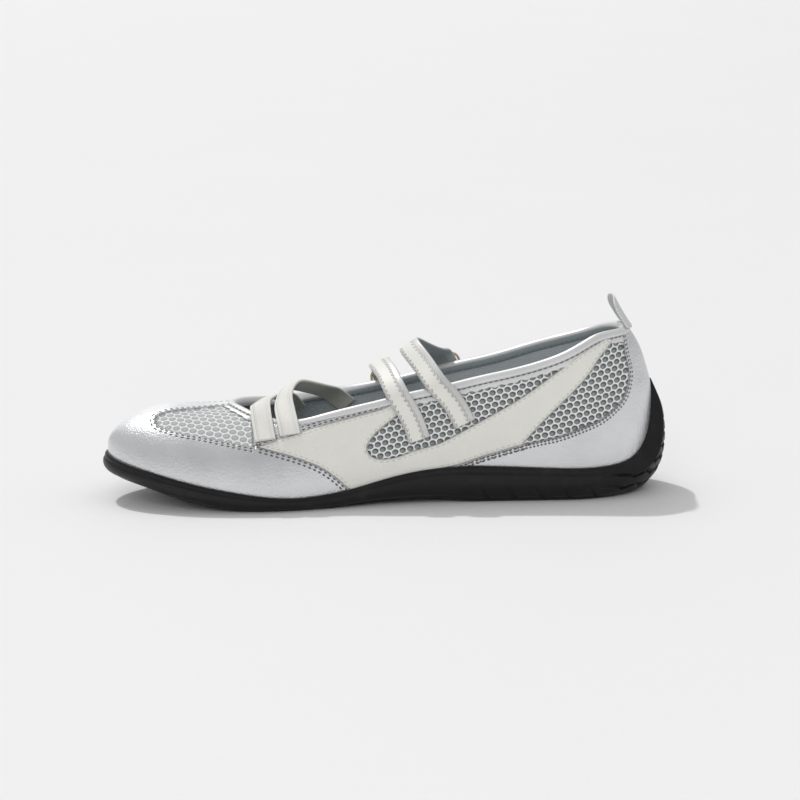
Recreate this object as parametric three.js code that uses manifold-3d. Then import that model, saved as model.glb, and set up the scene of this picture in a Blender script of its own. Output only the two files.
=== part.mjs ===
import * as THREE from 'three';
import { mergeVertices } from 'three/addons/utils/BufferGeometryUtils.js';
import Module from 'manifold-3d';

// Strap flat, right shoe, in mm. Z is up, the floor is z = 0, the toe points along -X,
// the medial (inner) side faces -Y. The origin lies on the floor under the heel.

// Driving sizes
const LENGTH = 244.5; // upper along its lower edge, heel back to toe tip
const HEEL_BACK = 27; // x of the upper's heel at its lower edge
const BALL_WIDTH = 84.6; // upper across the ball of the foot
const COLLAR_HEIGHT = 76; // collar at the heel above the floor
const SOLE_HEIGHT = 10.5; // floor to the upper's lower edge at the heel
const WALL = 1.5; // mesh body of the upper
const SKIN = 0.9; // leather panels on the mesh
const GAP = 0.32; // clearance between neighbouring pieces
const LAYER_GAP = 0.38; // clearance between the panels and the mesh body
const HEEL_ROUND = 0.16; // share of the length taken by the heel's rounding
const TOE_ROUND = 0.3; // share of the length taken by the toe's rounding
const TOE_NOSE = 0.135; // share of the length over which the toe's height rises
const TOE_EDGE_RISE = 0.11; // height of the toe's blunt nose, share of the collar height
const TUCK = 0.05; // inward tuck of the walls at the lower edge
const THROAT = 0.763; // station of the throat, share of the length

const BINDING_LEG = 3.7; // rolled collar binding, below the collar line
const FACING_LEG = 6.3; // silver facing under the binding, below the collar line
const BINDING_INSIDE = 4.2; // inner leg of the binding, below the collar line
const BINDING_TURN = 1.3; // underside of the roll, below the collar line

const STRAP_WIDTH = 10;
const ELASTIC_WIDTH = 9.2;
const STRAP_THICK = 1.4;
const ANCHOR_THICK = 1.1;
const BINDING_SLACK = 0.5; // binding's clearance round the wall's edge
const INSOLE_THICK = 2.4;
const BINDING_JOINT = -137; // x of the joint between the collar and throat bindings, under an elastic
const TAB_HALF_WIDTH = 10;

// The last, station by station from heel (0) to toe (1).
// station: share of the length; medial, lateral: half widths, share of the ball width;
// ridge: centre line's y, share of the ball width; edge: lower edge, share of the sole height;
// crown: rise of the closed section over the edge, share of the collar height; square: exponent.
const LAST = [
  { station: 0.00, medial: 0.366, lateral: 0.366, ridge: 0, edge: 1.00, crown: 1.408, square: 2.0 },
  { station: 0.10, medial: 0.361, lateral: 0.364, ridge: 0, edge: 1.00, crown: 1.355, square: 2.0 },
  { station: 0.19, medial: 0.358, lateral: 0.366, ridge: 0, edge: 1.05, crown: 1.289, square: 2.0 },
  { station: 0.27, medial: 0.352, lateral: 0.374, ridge: 0, edge: 1.10, crown: 1.211, square: 2.0 },
  { station: 0.36, medial: 0.350, lateral: 0.392, ridge: 0, edge: 1.10, crown: 1.105, square: 2.05 },
  { station: 0.44, medial: 0.359, lateral: 0.426, ridge: 0, edge: 0.97, crown: 0.974, square: 2.1 },
  { station: 0.52, medial: 0.383, lateral: 0.466, ridge: 0, edge: 0.705, crown: 0.809, square: 2.2 },
  { station: 0.60, medial: 0.426, lateral: 0.506, ridge: -0.001, edge: 0.438, crown: 0.645, square: 2.25 },
  { station: 0.68, medial: 0.463, lateral: 0.530, ridge: -0.004, edge: 0.305, crown: 0.549, square: 2.3 },
  { station: 0.765, medial: 0.473, lateral: 0.527, ridge: -0.009, edge: 0.438, crown: 0.499, square: 2.3 },
  { station: 0.85, medial: 0.475, lateral: 0.508, ridge: -0.019, edge: 0.80, crown: 0.441, square: 2.25 },
  { station: 0.93, medial: 0.475, lateral: 0.485, ridge: -0.028, edge: 1.22, crown: 0.388, square: 2.2 },
  { station: 1.00, medial: 0.473, lateral: 0.461, ridge: -0.035, edge: 1.57, crown: 0.325, square: 2.2 },
];

// Side profile of the heel's back: height over the lower edge (share of the collar height)
// and shift along X (share of the length, + is backwards).
const HEEL_PROFILE = [
  { height: 0, shift: 0 },
  { height: 0.132, shift: 0.0082 },
  { height: 0.263, shift: 0.0127 },
  { height: 0.395, shift: 0.0131 },
  { height: 0.526, shift: 0.0094 },
  { height: 0.605, shift: 0.0025 },
  { height: 0.697, shift: -0.0067 },
  { height: 0.789, shift: -0.0212 },
  { height: 0.868, shift: -0.0380 },
  { height: 1.053, shift: -0.0710 },
];

// Collar line: girth share at which each wall ends, from the heel to the throat.
const COLLAR = [
  { station: 0.000, medial: 0.2105, lateral: 0.2105 },
  { station: 0.040, medial: 0.2135, lateral: 0.2060 },
  { station: 0.084, medial: 0.2140, lateral: 0.1975 },
  { station: 0.131, medial: 0.2028, lateral: 0.1900 },
  { station: 0.172, medial: 0.1908, lateral: 0.1850 },
  { station: 0.210, medial: 0.1835, lateral: 0.1800 },
  { station: 0.248, medial: 0.1788, lateral: 0.1740 },
  { station: 0.320, medial: 0.1734, lateral: 0.1655 },
  { station: 0.380, medial: 0.1720, lateral: 0.1630 },
  { station: 0.431, medial: 0.1795, lateral: 0.1645 },
  { station: 0.468, medial: 0.1895, lateral: 0.1710 },
  { station: 0.500, medial: 0.2010, lateral: 0.1820 },
  { station: 0.560, medial: 0.2390, lateral: 0.2220 },
  { station: 0.606, medial: 0.2730, lateral: 0.2720 },
  { station: 0.650, medial: 0.2960, lateral: 0.3130 },
  { station: 0.678, medial: 0.3160, lateral: 0.3380 },
  { station: 0.708, medial: 0.3520, lateral: 0.3720 },
  { station: 0.740, medial: 0.4130, lateral: 0.4260 },
  { station: 0.754, medial: 0.4560, lateral: 0.4620 },
  { station: 0.763, medial: 0.5000, lateral: 0.5000 },
];

// Sole rim: height of the rubber's top edge, share of the sole height, by turn (see stationOf).
const RIM = [
  { turn: 0.0000, height: 4.77 },
  { turn: 0.0140, height: 4.66 },
  { turn: 0.0270, height: 4.30 },
  { turn: 0.0400, height: 3.72 },
  { turn: 0.0540, height: 3.06 },
  { turn: 0.0690, height: 2.52 },
  { turn: 0.0850, height: 2.18 },
  { turn: 0.1100, height: 1.80 },
  { turn: 0.1440, height: 1.55 },
  { turn: 0.1800, height: 1.45 },
  { turn: 0.2750, height: 1.44 },
  { turn: 0.3590, height: 1.57 },
  { turn: 0.4090, height: 1.60 },
  { turn: 0.4570, height: 1.46 },
  { turn: 0.5045, height: 1.11 },
  { turn: 0.5400, height: 0.80 },
  { turn: 0.5760, height: 0.61 },
  { turn: 0.6120, height: 0.56 },
  { turn: 0.6610, height: 0.73 },
  { turn: 0.7340, height: 1.13 },
  { turn: 0.7755, height: 1.37 },
  { turn: 0.8250, height: 1.63 },
  { turn: 0.9080, height: 1.92 },
  { turn: 1.0000, height: 2.08 },
];

// Side of the rubber: share of the height from tread to rim, and how far it stands out from
// the upper's lower edge, at the heel's back, along the sides and at the toe, in mm.
const SOLE_SIDE = [
  { share: 1.00, back: 0.7, side: 1.5, toe: 1.0 },
  { share: 0.90, back: 2.4, side: 2.0, toe: 1.7 },
  { share: 0.79, back: 4.5, side: 2.4, toe: 2.2 },
  { share: 0.65, back: 6.1, side: 2.5, toe: 2.4 },
  { share: 0.51, back: 7.1, side: 2.4, toe: 1.8 },
  { share: 0.37, back: 7.7, side: 2.0, toe: 0 },
  { share: 0.25, back: 7.5, side: 1.3, toe: -2.6 },
  { share: 0.16, back: 5.8, side: 0.4, toe: -4.8 },
  { share: 0.08, back: 2.6, side: -0.8, toe: -7.5 },
  { share: 0.02, back: -1.0, side: -2.4, toe: -10 },
  { share: 0.00, back: -3.6, side: -4.4, toe: -12 },
];
const RIM_SLOPE = 1.0; // rubber thickness gained per mm below the rim
const ARCH_LIFT = 0.19; // tread's lift under the arch, share of the sole height
const TOE_LIFT = 0.81; // tread's lift at the toe, share of the sole height

// Smooth curve through a table: natural cubic spline of one column over another.
function curve(xs, ys) {
  const n = xs.length;
  const diagonal = new Array(n).fill(1);
  const rhs = new Array(n).fill(0);
  const upper = new Array(n).fill(0);
  for (let i = 1; i < n - 1; i++) {
    const left = xs[i] - xs[i - 1];
    const right = xs[i + 1] - xs[i];
    const slope = (ys[i + 1] - ys[i]) / right - (ys[i] - ys[i - 1]) / left;
    const factor = left / diagonal[i - 1];
    diagonal[i] = 2 * (left + right) - factor * upper[i - 1];
    upper[i] = right;
    rhs[i] = 6 * slope - factor * rhs[i - 1];
  }
  const bend = new Array(n).fill(0);
  for (let i = n - 2; i > 0; i--) bend[i] = (rhs[i] - upper[i] * bend[i + 1]) / diagonal[i];
  return (at) => {
    const x = Math.min(Math.max(at, xs[0]), xs[n - 1]);
    let i = 0;
    while (i < n - 2 && x > xs[i + 1]) i++;
    const h = xs[i + 1] - xs[i];
    const a = (xs[i + 1] - x) / h;
    const b = (x - xs[i]) / h;
    return a * ys[i] + b * ys[i + 1]
      + ((a ** 3 - a) * bend[i] + (b ** 3 - b) * bend[i + 1]) * h * h / 6;
  };
}
const column = (table, key, name) => curve(table.map((row) => row[key]), table.map((row) => row[name]));
const clamp = (x, low, high) => Math.min(Math.max(x, low), high);
const smooth = (x) => clamp(x, 0, 1) ** 2 * (3 - 2 * clamp(x, 0, 1));
const round = (x) => Math.sqrt(Math.max(0, 1 - clamp(1 - x, 0, 1) ** 2));

const last = {};
for (const name of ['medial', 'lateral', 'ridge', 'edge', 'crown', 'square']) {
  last[name] = column(LAST, 'station', name);
}
const heelShift = column(HEEL_PROFILE, 'height', 'shift');
const rimHeight = column(RIM, 'turn', 'height');

// A turn runs 0 to 1 from heel to toe with close steps at both round ends.
const stationOf = (turn) => (1 - Math.cos(Math.PI * turn)) / 2;
const turnOf = (station) => Math.acos(1 - 2 * clamp(station, 0, 1)) / Math.PI;
const edgeHeight = (station) => last.edge(station) * SOLE_HEIGHT;

function crownHeight(station) {
  const nose = TOE_EDGE_RISE * COLLAR_HEIGHT;
  return nose + (last.crown(station) * COLLAR_HEIGHT - nose) * round((1 - station) / TOE_NOSE);
}

// Outer skin of the upper at a turn and a girth share: 0 at the medial lower edge, 0.5 on the
// ridge, 1 at the lateral lower edge. Past either end it runs on round onto the other side.
function skin(turn, girth) {
  if (turn < 0) return skin(-turn, 1 - girth);
  if (turn > 1) return skin(2 - turn, 1 - girth);
  const station = stationOf(turn);
  const across = Math.cos(Math.PI * girth);
  const rise = Math.abs(Math.sin(Math.PI * girth));
  const power = 2 / last.square(station);
  const ends = round(station / HEEL_ROUND) * round((1 - station) / TOE_ROUND);
  const half = (across > 0 ? last.medial(station) : last.lateral(station)) * BALL_WIDTH * ends;
  const height = crownHeight(station) * rise ** power;
  const lean = heelShift(height / COLLAR_HEIGHT) * LENGTH * clamp(1 - station / 0.3, 0, 1) ** 2;
  const tuck = 1 - TUCK * (1 - rise) ** 3;
  return new THREE.Vector3(
    HEEL_BACK - station * LENGTH + lean,
    last.ridge(station) * BALL_WIDTH - Math.sign(across) * half * Math.abs(across) ** power * tuck,
    edgeHeight(station) + height,
  );
}

function slopes(turn, girth) {
  const e = 0.002;
  const along = skin(turn + e, girth).sub(skin(turn - e, girth)).divideScalar(2 * e);
  const low = Math.max(girth - e, 0);
  const high = Math.min(girth + e, 1);
  const around = skin(turn, high).sub(skin(turn, low)).divideScalar(high - low);
  return { along, around };
}

function normal(turn, girth) {
  const { along, around } = slopes(turn, girth);
  return around.cross(along).normalize();
}

// Point at a depth from the outer skin: + outwards, - into the shoe.
function at(turn, girth, depth) {
  return skin(turn, girth).addScaledVector(normal(turn, girth), depth);
}

// Follow the skin for a distance in a direction; returns the new turn and girth.
function walk(turn, girth, direction, distance) {
  const steps = 4;
  let place = { turn, girth };
  for (let i = 0; i < steps; i++) {
    const { along, around } = slopes(place.turn, place.girth);
    const n = normal(place.turn, place.girth);
    const step = direction.clone().addScaledVector(n, -direction.dot(n)).normalize()
      .multiplyScalar(distance / steps);
    const aa = along.dot(along);
    const ab = along.dot(around);
    const bb = around.dot(around);
    const sa = step.dot(along);
    const sb = step.dot(around);
    const det = aa * bb - ab * ab;
    place = {
      turn: place.turn + (sa * bb - sb * ab) / det,
      girth: place.girth + (sb * aa - sa * ab) / det,
    };
  }
  return place;
}

// Stations of the collar from heel to throat, close together at both ends.
const COLLAR_STEPS = 21;
const TOE_STEPS = 9;
const THROAT_CLEAR = 0.045; // turns between the throat and the first straight column
const collarKey = (station) => Math.sqrt(Math.max(0, 1 - station / THROAT));
const collarRows = [...COLLAR].reverse().map((row) => ({ ...row, key: collarKey(row.station) }));
const collarGirth = {
  medial: column(collarRows, 'key', 'medial'),
  lateral: column(collarRows, 'key', 'lateral'),
};
const spaced = (i, n) => (1 - Math.cos(Math.PI * i / n)) / 2;
const throatTurn = turnOf(THROAT);
const collarTurns = [];
for (let i = 0; i <= COLLAR_STEPS; i++) {
  collarTurns.push(throatTurn * (1 - (1 - i / COLLAR_STEPS) ** 1.7));
}
const toeTurns = [];
for (let i = 0; i < TOE_STEPS; i++) {
  const first = throatTurn + THROAT_CLEAR;
  const share = i / (TOE_STEPS - 1);
  toeTurns.push(first + (1 - first) * (0.6 * share + 0.4 * spaced(i, TOE_STEPS - 1)));
}

// The collar line as a closed loop: medial heel to throat, then lateral throat to heel.
const collarLoop = [];
for (let i = 0; i <= COLLAR_STEPS; i++) {
  collarLoop.push({ turn: collarTurns[i], girth: collarGirth.medial(collarKey(stationOf(collarTurns[i]))) });
}
for (let i = COLLAR_STEPS - 1; i > 0; i--) {
  collarLoop.push({ turn: collarTurns[i], girth: 1 - collarGirth.lateral(collarKey(stationOf(collarTurns[i]))) });
}
collarLoop.forEach((place, i) => {
  const count = collarLoop.length;
  const before = collarLoop[(i + count - 1) % count];
  const after = collarLoop[(i + 1) % count];
  const tangent = skin(after.turn, after.girth).sub(skin(before.turn, before.girth)).normalize();
  place.down = normal(place.turn, place.girth).cross(tangent).normalize();
});

// The collar line moved a distance down the skin, held on the centre plane at heel and throat.
function rail(distance) {
  return collarLoop.map((place, i) => {
    const moved = walk(place.turn, place.girth, place.down, distance);
    if (i === 0) moved.turn = 0;
    if (i === COLLAR_STEPS) moved.girth = 0.5;
    return moved;
  });
}

const wasm = await Module();
wasm.setup();

// Triangles of a grid of points; neighbouring grids share their border points.
function patch(list, grid, flip = false) {
  for (let i = 0; i + 1 < grid.length; i++) {
    for (let j = 0; j + 1 < grid[i].length; j++) {
      const a = grid[i][j];
      const b = grid[i + 1][j];
      const c = grid[i + 1][j + 1];
      const d = grid[i][j + 1];
      const quads = flip ? [a, c, b, a, d, c] : [a, b, c, a, c, d];
      list.push(...quads);
    }
  }
}

function closed(points) {
  const positions = new Float32Array(points.length * 3);
  points.forEach((p, i) => positions.set([p.x, p.y, p.z], 3 * i));
  let geometry = new THREE.BufferGeometry();
  geometry.setAttribute('position', new THREE.BufferAttribute(positions, 3));
  geometry = mergeVertices(geometry, 1e-3);
  const index = geometry.index.array;
  const kept = [];
  for (let i = 0; i < index.length; i += 3) {
    const [a, b, c] = [index[i], index[i + 1], index[i + 2]];
    if (a !== b && b !== c && c !== a) kept.push(a, b, c);
  }
  geometry.setIndex(kept);
  return toManifold(geometry);
}

function toManifold(source) {
  let geometry = source.clone();
  geometry.deleteAttribute('normal');
  geometry.deleteAttribute('uv');
  geometry = mergeVertices(geometry, 1e-3);
  const vertProperties = new Float32Array(geometry.attributes.position.array);
  const triVerts = new Uint32Array(geometry.index.array);
  const p = (i) => new THREE.Vector3().fromArray(vertProperties, 3 * i);
  let volume = 0;
  for (let i = 0; i < triVerts.length; i += 3) {
    volume += p(triVerts[i]).dot(p(triVerts[i + 1]).cross(p(triVerts[i + 2])));
  }
  if (volume < 0) {
    for (let i = 0; i < triVerts.length; i += 3) {
      [triVerts[i], triVerts[i + 1]] = [triVerts[i + 1], triVerts[i]];
    }
  }
  return new wasm.Manifold(new wasm.Mesh({ numProp: 3, vertProperties, triVerts }));
}

// A hollow wall following the last between two depths, from the lower edge up to a rail.
function shell(topRail, outer, inner, rows) {
  const points = [];
  const throat = topRail[COLLAR_STEPS].turn;
  for (const side of ['medial', 'lateral']) {
    const columns = [];
    for (let i = 0; i <= COLLAR_STEPS; i++) {
      const top = side === 'medial' ? topRail[i] : topRail[(topRail.length - i) % topRail.length];
      let girth = top.girth;
      if (side === 'lateral') girth = i === 0 ? top.girth : 1 - top.girth;
      columns.push({ foot: collarTurns[i], turn: i === COLLAR_STEPS ? throat : top.turn, girth });
    }
    for (const turn of toeTurns) columns.push({ foot: turn, turn, girth: 0.5 });
    const sheet = (depth) => columns.map((c) => {
      const line = [];
      for (let j = 0; j <= rows; j++) {
        const v = j / rows;
        const girth = c.girth * v;
        line.push(at(c.foot + (c.turn - c.foot) * v, side === 'medial' ? girth : 1 - girth, depth));
      }
      return line;
    });
    const outside = sheet(outer);
    const inside = sheet(inner);
    const flip = side === 'lateral';
    patch(points, outside, flip);
    patch(points, inside, !flip);
    patch(points, outside.map((line, i) => [inside[i][0], line[0]]), flip);
    const rim = outside.slice(0, COLLAR_STEPS + 1);
    patch(points, rim.map((line, i) => [line[rows], inside[i][rows]]), flip);
  }
  return closed(points);
}

const upperTop = BINDING_TURN + GAP;
const bandInner = -SKIN;
const wallOuter = bandInner - LAYER_GAP;
const wallInner = wallOuter - WALL;
const WALL_ROWS = 7; // of facets up a wall
const wall = shell(rail(upperTop), wallOuter, wallInner, WALL_ROWS);

// The space the finished upper fills, grown by the gap; the sole is hollowed by it.
const SPACE_GIRTHS = [0, 0.025, 0.055, 0.085, 0.11, 0.135, 0.19, 0.26, 0.36, 0.5];
const FINE_HEEL = 0.36; // columns are halved up to this turn, round the heel
const spaceTurns = [...collarTurns, ...toeTurns].flatMap((turn, i, all) => {
  const halved = turn < FINE_HEEL && i + 1 < all.length;
  return halved ? [turn, (turn + all[i + 1]) / 2] : [turn];
});
function space(grow) {
  const points = [];
  const floor = [];
  for (const side of ['medial', 'lateral']) {
    const grid = [];
    for (const turn of spaceTurns) {
      const line = SPACE_GIRTHS.map((g) => at(turn, side === 'medial' ? g : 1 - g, grow));
      const foot = line[0].clone();
      foot.z = edgeHeight(stationOf(turn)) - grow;
      line[0] = foot;
      if (side === 'medial') floor.push([foot]);
      else floor[grid.length].unshift(foot);
      grid.push(line);
    }
    patch(points, grid, side === 'lateral');
  }
  patch(points, floor);
  return closed(points);
}

// Height of the tread over the floor.
const ARCH = { heelEnd: 0.32, heelBlend: 0.1, ballEnd: 0.61, ballBlend: 0.13 }; // stations
const TOE_SPRING_START = 0.735; // station
function treadHeight(station) {
  const arch = smooth((station - ARCH.heelEnd) / ARCH.heelBlend)
    * smooth((ARCH.ballEnd - station) / ARCH.ballBlend);
  const toe = smooth((station - TOE_SPRING_START) / (1 - TOE_SPRING_START));
  return SOLE_HEIGHT * (ARCH_LIFT * arch + TOE_LIFT * toe);
}

const soleOut = {};
for (const name of ['back', 'side', 'toe']) soleOut[name] = column([...SOLE_SIDE].reverse(), 'share', name);

const BACK_BLEND = 0.13; // station where the heel's offsets end
const TOE_BLEND = 0.84; // station where the toe's offsets begin
const TURN_STEP = 0.002; // for slopes along the edge
function soleEdge(turn, side, share) {
  const station = stationOf(turn);
  const girth = side === 'medial' ? 0 : 1;
  const run = skin(turn + TURN_STEP, girth).sub(skin(turn - TURN_STEP, girth));
  const outwards = new THREE.Vector3(run.y, -run.x, 0).normalize();
  if (side === 'medial') outwards.negate();
  const tread = treadHeight(station);
  const rim = rimHeight(turn) * SOLE_HEIGHT;
  const z = tread + share * (rim - tread);
  const backness = smooth(1 - station / BACK_BLEND);
  const toeness = smooth((station - TOE_BLEND) / (1 - TOE_BLEND));
  const backShare = z / (RIM[0].height * SOLE_HEIGHT);
  const back = Math.min(soleOut.back(backShare), soleOut.back(1) + RIM_SLOPE * (rim - z) + 0.5);
  const out = back * backness + soleOut.toe(share) * toeness
    + soleOut.side(share) * (1 - backness - toeness);
  const over = Math.max(0, z - edgeHeight(station)) / crownHeight(station);
  const power = last.square(station) / 2;
  const level = Math.asin(clamp(over, 0, 1) ** power) / Math.PI;
  const base = skin(turn, side === 'medial' ? level : 1 - level);
  base.z = z;
  return base.addScaledVector(outwards, out);
}

// The rubber before hollowing: tread, sides, rim and a lid inside the last.
const SOLE_STEPS = 32;
const HEEL_STEPS = 6;
const HEEL_TURN = 0.1;
const soleTurns = [];
for (let i = 0; i <= SOLE_STEPS; i++) {
  if (i < HEEL_STEPS) soleTurns.push(HEEL_TURN * i / HEEL_STEPS);
  else soleTurns.push(HEEL_TURN + (1 - HEEL_TURN) * (i - HEEL_STEPS) / (SOLE_STEPS - HEEL_STEPS));
}
const LID = { share: 0.25, inwards: 5 }; // how far the lid's edge lies inside the rim
function soleBlock() {
  const grid = [];
  for (const turn of soleTurns) {
    const medial = SOLE_SIDE.map((row) => soleEdge(turn, 'medial', row.share));
    const lateral = SOLE_SIDE.map((row) => soleEdge(turn, 'lateral', row.share));
    const lid = (edge) => {
      const centre = new THREE.Vector3(edge.x, 0, edge.z);
      const inwards = new THREE.Vector3(clamp(2 * stationOf(turn) - 1, -1, 1), 0, 0);
      return edge.clone().lerp(centre, LID.share).addScaledVector(inwards, LID.inwards);
    };
    const rimMedial = lid(medial[0]);
    const rimLateral = lid(lateral[0]);
    grid.push([rimMedial, ...medial, ...[...lateral].reverse(), rimLateral, rimMedial]);
  }
  const points = [];
  patch(points, grid);
  return closed(points);
}

// Box between two corners.
function box(low, high) {
  const size = high.clone().sub(low);
  const geometry = new THREE.BoxGeometry(size.x, size.y, size.z);
  const middle = low.clone().add(high).multiplyScalar(0.5);
  geometry.translate(middle.x, middle.y, middle.z);
  return toManifold(geometry);
}

// Cross grooves of the tread, leaving a flat lug round each rest; stations and counts by zone.
const TREAD_ZONES = [
  { centre: 0.1104, behind: 2, ahead: 4 },
  { centre: 0.6687, behind: 3, ahead: 6 },
];
const TREAD_PITCH = 0.0368; // share of the length
const GROOVE_WIDTH = 1.6;
const GROOVE_DEPTH = 1.0;
const GROOVE_MARGIN = 5; // groove ends inside the tread's edge
function treadGrooves() {
  const grooves = [];
  for (const zone of TREAD_ZONES) {
    for (let i = -zone.behind; i < zone.ahead; i++) {
      const station = zone.centre + (i + 0.5) * TREAD_PITCH;
      const turn = turnOf(station);
      const x = HEEL_BACK - station * LENGTH;
      const top = treadHeight(station) + GROOVE_DEPTH;
      const medial = soleEdge(turn, 'medial', 0).y + GROOVE_MARGIN;
      const lateral = soleEdge(turn, 'lateral', 0).y - GROOVE_MARGIN;
      grooves.push(box(
        new THREE.Vector3(x - GROOVE_WIDTH / 2, medial, -SOLE_HEIGHT),
        new THREE.Vector3(x + GROOVE_WIDTH / 2, lateral, top),
      ));
    }
  }
  return wasm.Manifold.union(grooves);
}

// Level grooves across the back of the heel, fading out round its sides.
const HEEL_GROOVES = [0.85, 1.6]; // heights, share of the sole height
const HEEL_GROOVE_REACH = 14; // x at which the grooves start
const HEEL_GROOVE_WIDTH = 1.2;
const HEEL_GROOVE_DEPTH = 1.1;
function heelGrooves(block) {
  const slots = HEEL_GROOVES.map((height) => {
    const z = height * SOLE_HEIGHT;
    const slab = box(
      new THREE.Vector3(HEEL_GROOVE_REACH, -BALL_WIDTH, z - HEEL_GROOVE_WIDTH / 2),
      new THREE.Vector3(BALL_WIDTH, BALL_WIDTH, z + HEEL_GROOVE_WIDTH / 2),
    );
    return slab.subtract(block.translate([-HEEL_GROOVE_DEPTH, 0, 0]));
  });
  return wasm.Manifold.union(slots);
}

const block = soleBlock();
const sole = block.subtract(space(GAP)).subtract(treadGrooves()).subtract(heelGrooves(block));

// Insole board lying on the rubber inside the walls.
const INSOLE_STEPS = 26;
const INSOLE_SLACK = { side: 0.1, below: 0.05 };
function insoleBoard() {
  const points = [];
  const grids = { low: [], high: [] };
  for (let i = 0; i <= INSOLE_STEPS; i++) {
    const turn = i / INSOLE_STEPS;
    const inset = wallInner - GAP - INSOLE_SLACK.side;
    const low = edgeHeight(stationOf(turn)) + INSOLE_SLACK.below;
    const medial = at(turn, 0, inset);
    const lateral = at(turn, 1, inset);
    for (const [name, z] of [['low', low], ['high', low + INSOLE_THICK]]) {
      const line = [];
      for (let j = 0; j <= 2; j++) {
        const p = medial.clone().lerp(lateral, j / 2);
        p.z = z;
        line.push(p);
      }
      grids[name].push(line);
    }
  }
  patch(points, grids.high);
  patch(points, grids.low, true);
  patch(points, grids.high.map((line, i) => [grids.low[i][0], line[0]]));
  patch(points, grids.high.map((line, i) => [line[2], grids.low[i][2]]));
  return closed(points);
}
const insole = insoleBoard();

// Seams in side view: x as a share of the length from the heel, z as a share of the collar height.
// Both walls carry the same panels.
const OVERLAY_SEAM = [
  { x: 0.561, z: -0.13, corner: true },
  { x: 0.562, z: 0.106, corner: true },
  { x: 0.590, z: 0.192 },
  { x: 0.618, z: 0.257 },
  { x: 0.654, z: 0.308 },
  { x: 0.690, z: 0.345 },
  { x: 0.730, z: 0.379, corner: true },
  { x: 0.690, z: 0.418 },
  { x: 0.649, z: 0.453 },
  { x: 0.597, z: 0.500 },
  { x: 0.533, z: 0.549 },
  { x: 0.492, z: 0.587 },
  { x: 0.474, z: 0.640, corner: true },
  { x: 0.470, z: 0.545, corner: true },
  { x: 0.496, z: 0.483 },
  { x: 0.515, z: 0.433 },
  { x: 0.529, z: 0.370 },
  { x: 0.528, z: 0.322 },
  { x: 0.516, z: 0.291 },
  { x: 0.498, z: 0.281 },
  { x: 0.474, z: 0.291 },
  { x: 0.447, z: 0.320 },
  { x: 0.411, z: 0.350 },
  { x: 0.386, z: 0.379 },
  { x: 0.325, z: 0.482 },
  { x: 0.248, z: 0.620 },
  { x: 0.174, z: 0.785 },
  { x: 0.137, z: 0.871 },
  { x: 0.085, z: 0.960, corner: true },
  { x: 0.070, z: 0.945, corner: true },
  { x: 0.100, z: 0.845 },
  { x: 0.118, z: 0.764 },
  { x: 0.151, z: 0.651 },
  { x: 0.175, z: 0.579 },
  { x: 0.211, z: 0.464 },
  { x: 0.245, z: 0.345, corner: true },
  { x: 0.285, z: 0.310 },
  { x: 0.322, z: 0.275 },
  { x: 0.350, z: 0.243 },
  { x: 0.373, z: 0.221 },
  { x: 0.395, z: 0.209, corner: true },
  { x: 0.410, z: -0.13, corner: true },
];
const TOE_SEAM = [
  { x: 1.08, z: -0.13, corner: true },
  { x: 1.08, z: 1.1, corner: true },
  { x: 0.7375, z: 1.1, corner: true },
  { x: 0.7375, z: 0.384, corner: true },
  { x: 0.700, z: 0.380, corner: true },
  { x: 0.630, z: 0.350, corner: true },
  { x: 0.552, z: 0.150, corner: true },
  { x: 0.552, z: -0.13, corner: true },
];
const FACING_SEAM = [
  { x: 0.7355, z: 0.386, corner: true },
  { x: 0.7355, z: 1.1, corner: true },
  { x: 0.480, z: 1.1, corner: true },
  { x: 0.480, z: 0.57, corner: true },
  { x: 0.560, z: 0.500, corner: true },
  { x: 0.640, z: 0.420, corner: true },
  { x: 0.700, z: 0.386, corner: true },
];
const COUNTER_SEAM = [
  { x: 0.400, z: -0.13, corner: true },
  { x: 0.385, z: 0.300, corner: true },
  { x: 0.245, z: 0.345, corner: true },
  { x: 0.212, z: 0.368 },
  { x: 0.175, z: 0.393 },
  { x: 0.137, z: 0.436 },
  { x: 0.099, z: 0.483 },
  { x: 0.070, z: 0.547 },
  { x: 0.052, z: 0.609 },
  { x: 0.042, z: 0.701 },
  { x: 0.041, z: 0.770 },
  { x: 0.048, z: 0.876 },
  { x: 0.055, z: 1.100, corner: true },
  { x: -0.080, z: 1.100, corner: true },
  { x: -0.080, z: -0.13, corner: true },
];
// Mesh windows of the vamp in plan: x as before, y as a share of the ball width.
const VAMP_WINDOW = [
  { x: 0.906, y: -0.140 },
  { x: 0.913, y: -0.185 },
  { x: 0.905, y: -0.240 },
  { x: 0.870, y: -0.298 },
  { x: 0.834, y: -0.327 },
  { x: 0.798, y: -0.357 },
  { x: 0.763, y: -0.381 },
  { x: 0.7355, y: -0.394, corner: true },
  { x: 0.7355, y: -0.062, corner: true },
  { x: 0.800, y: -0.062, corner: true },
  { x: 0.830, y: -0.080 },
  { x: 0.870, y: -0.108 },
];
const LATERAL_SCALE = 1.06; // lateral vamp window against the medial one

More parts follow.
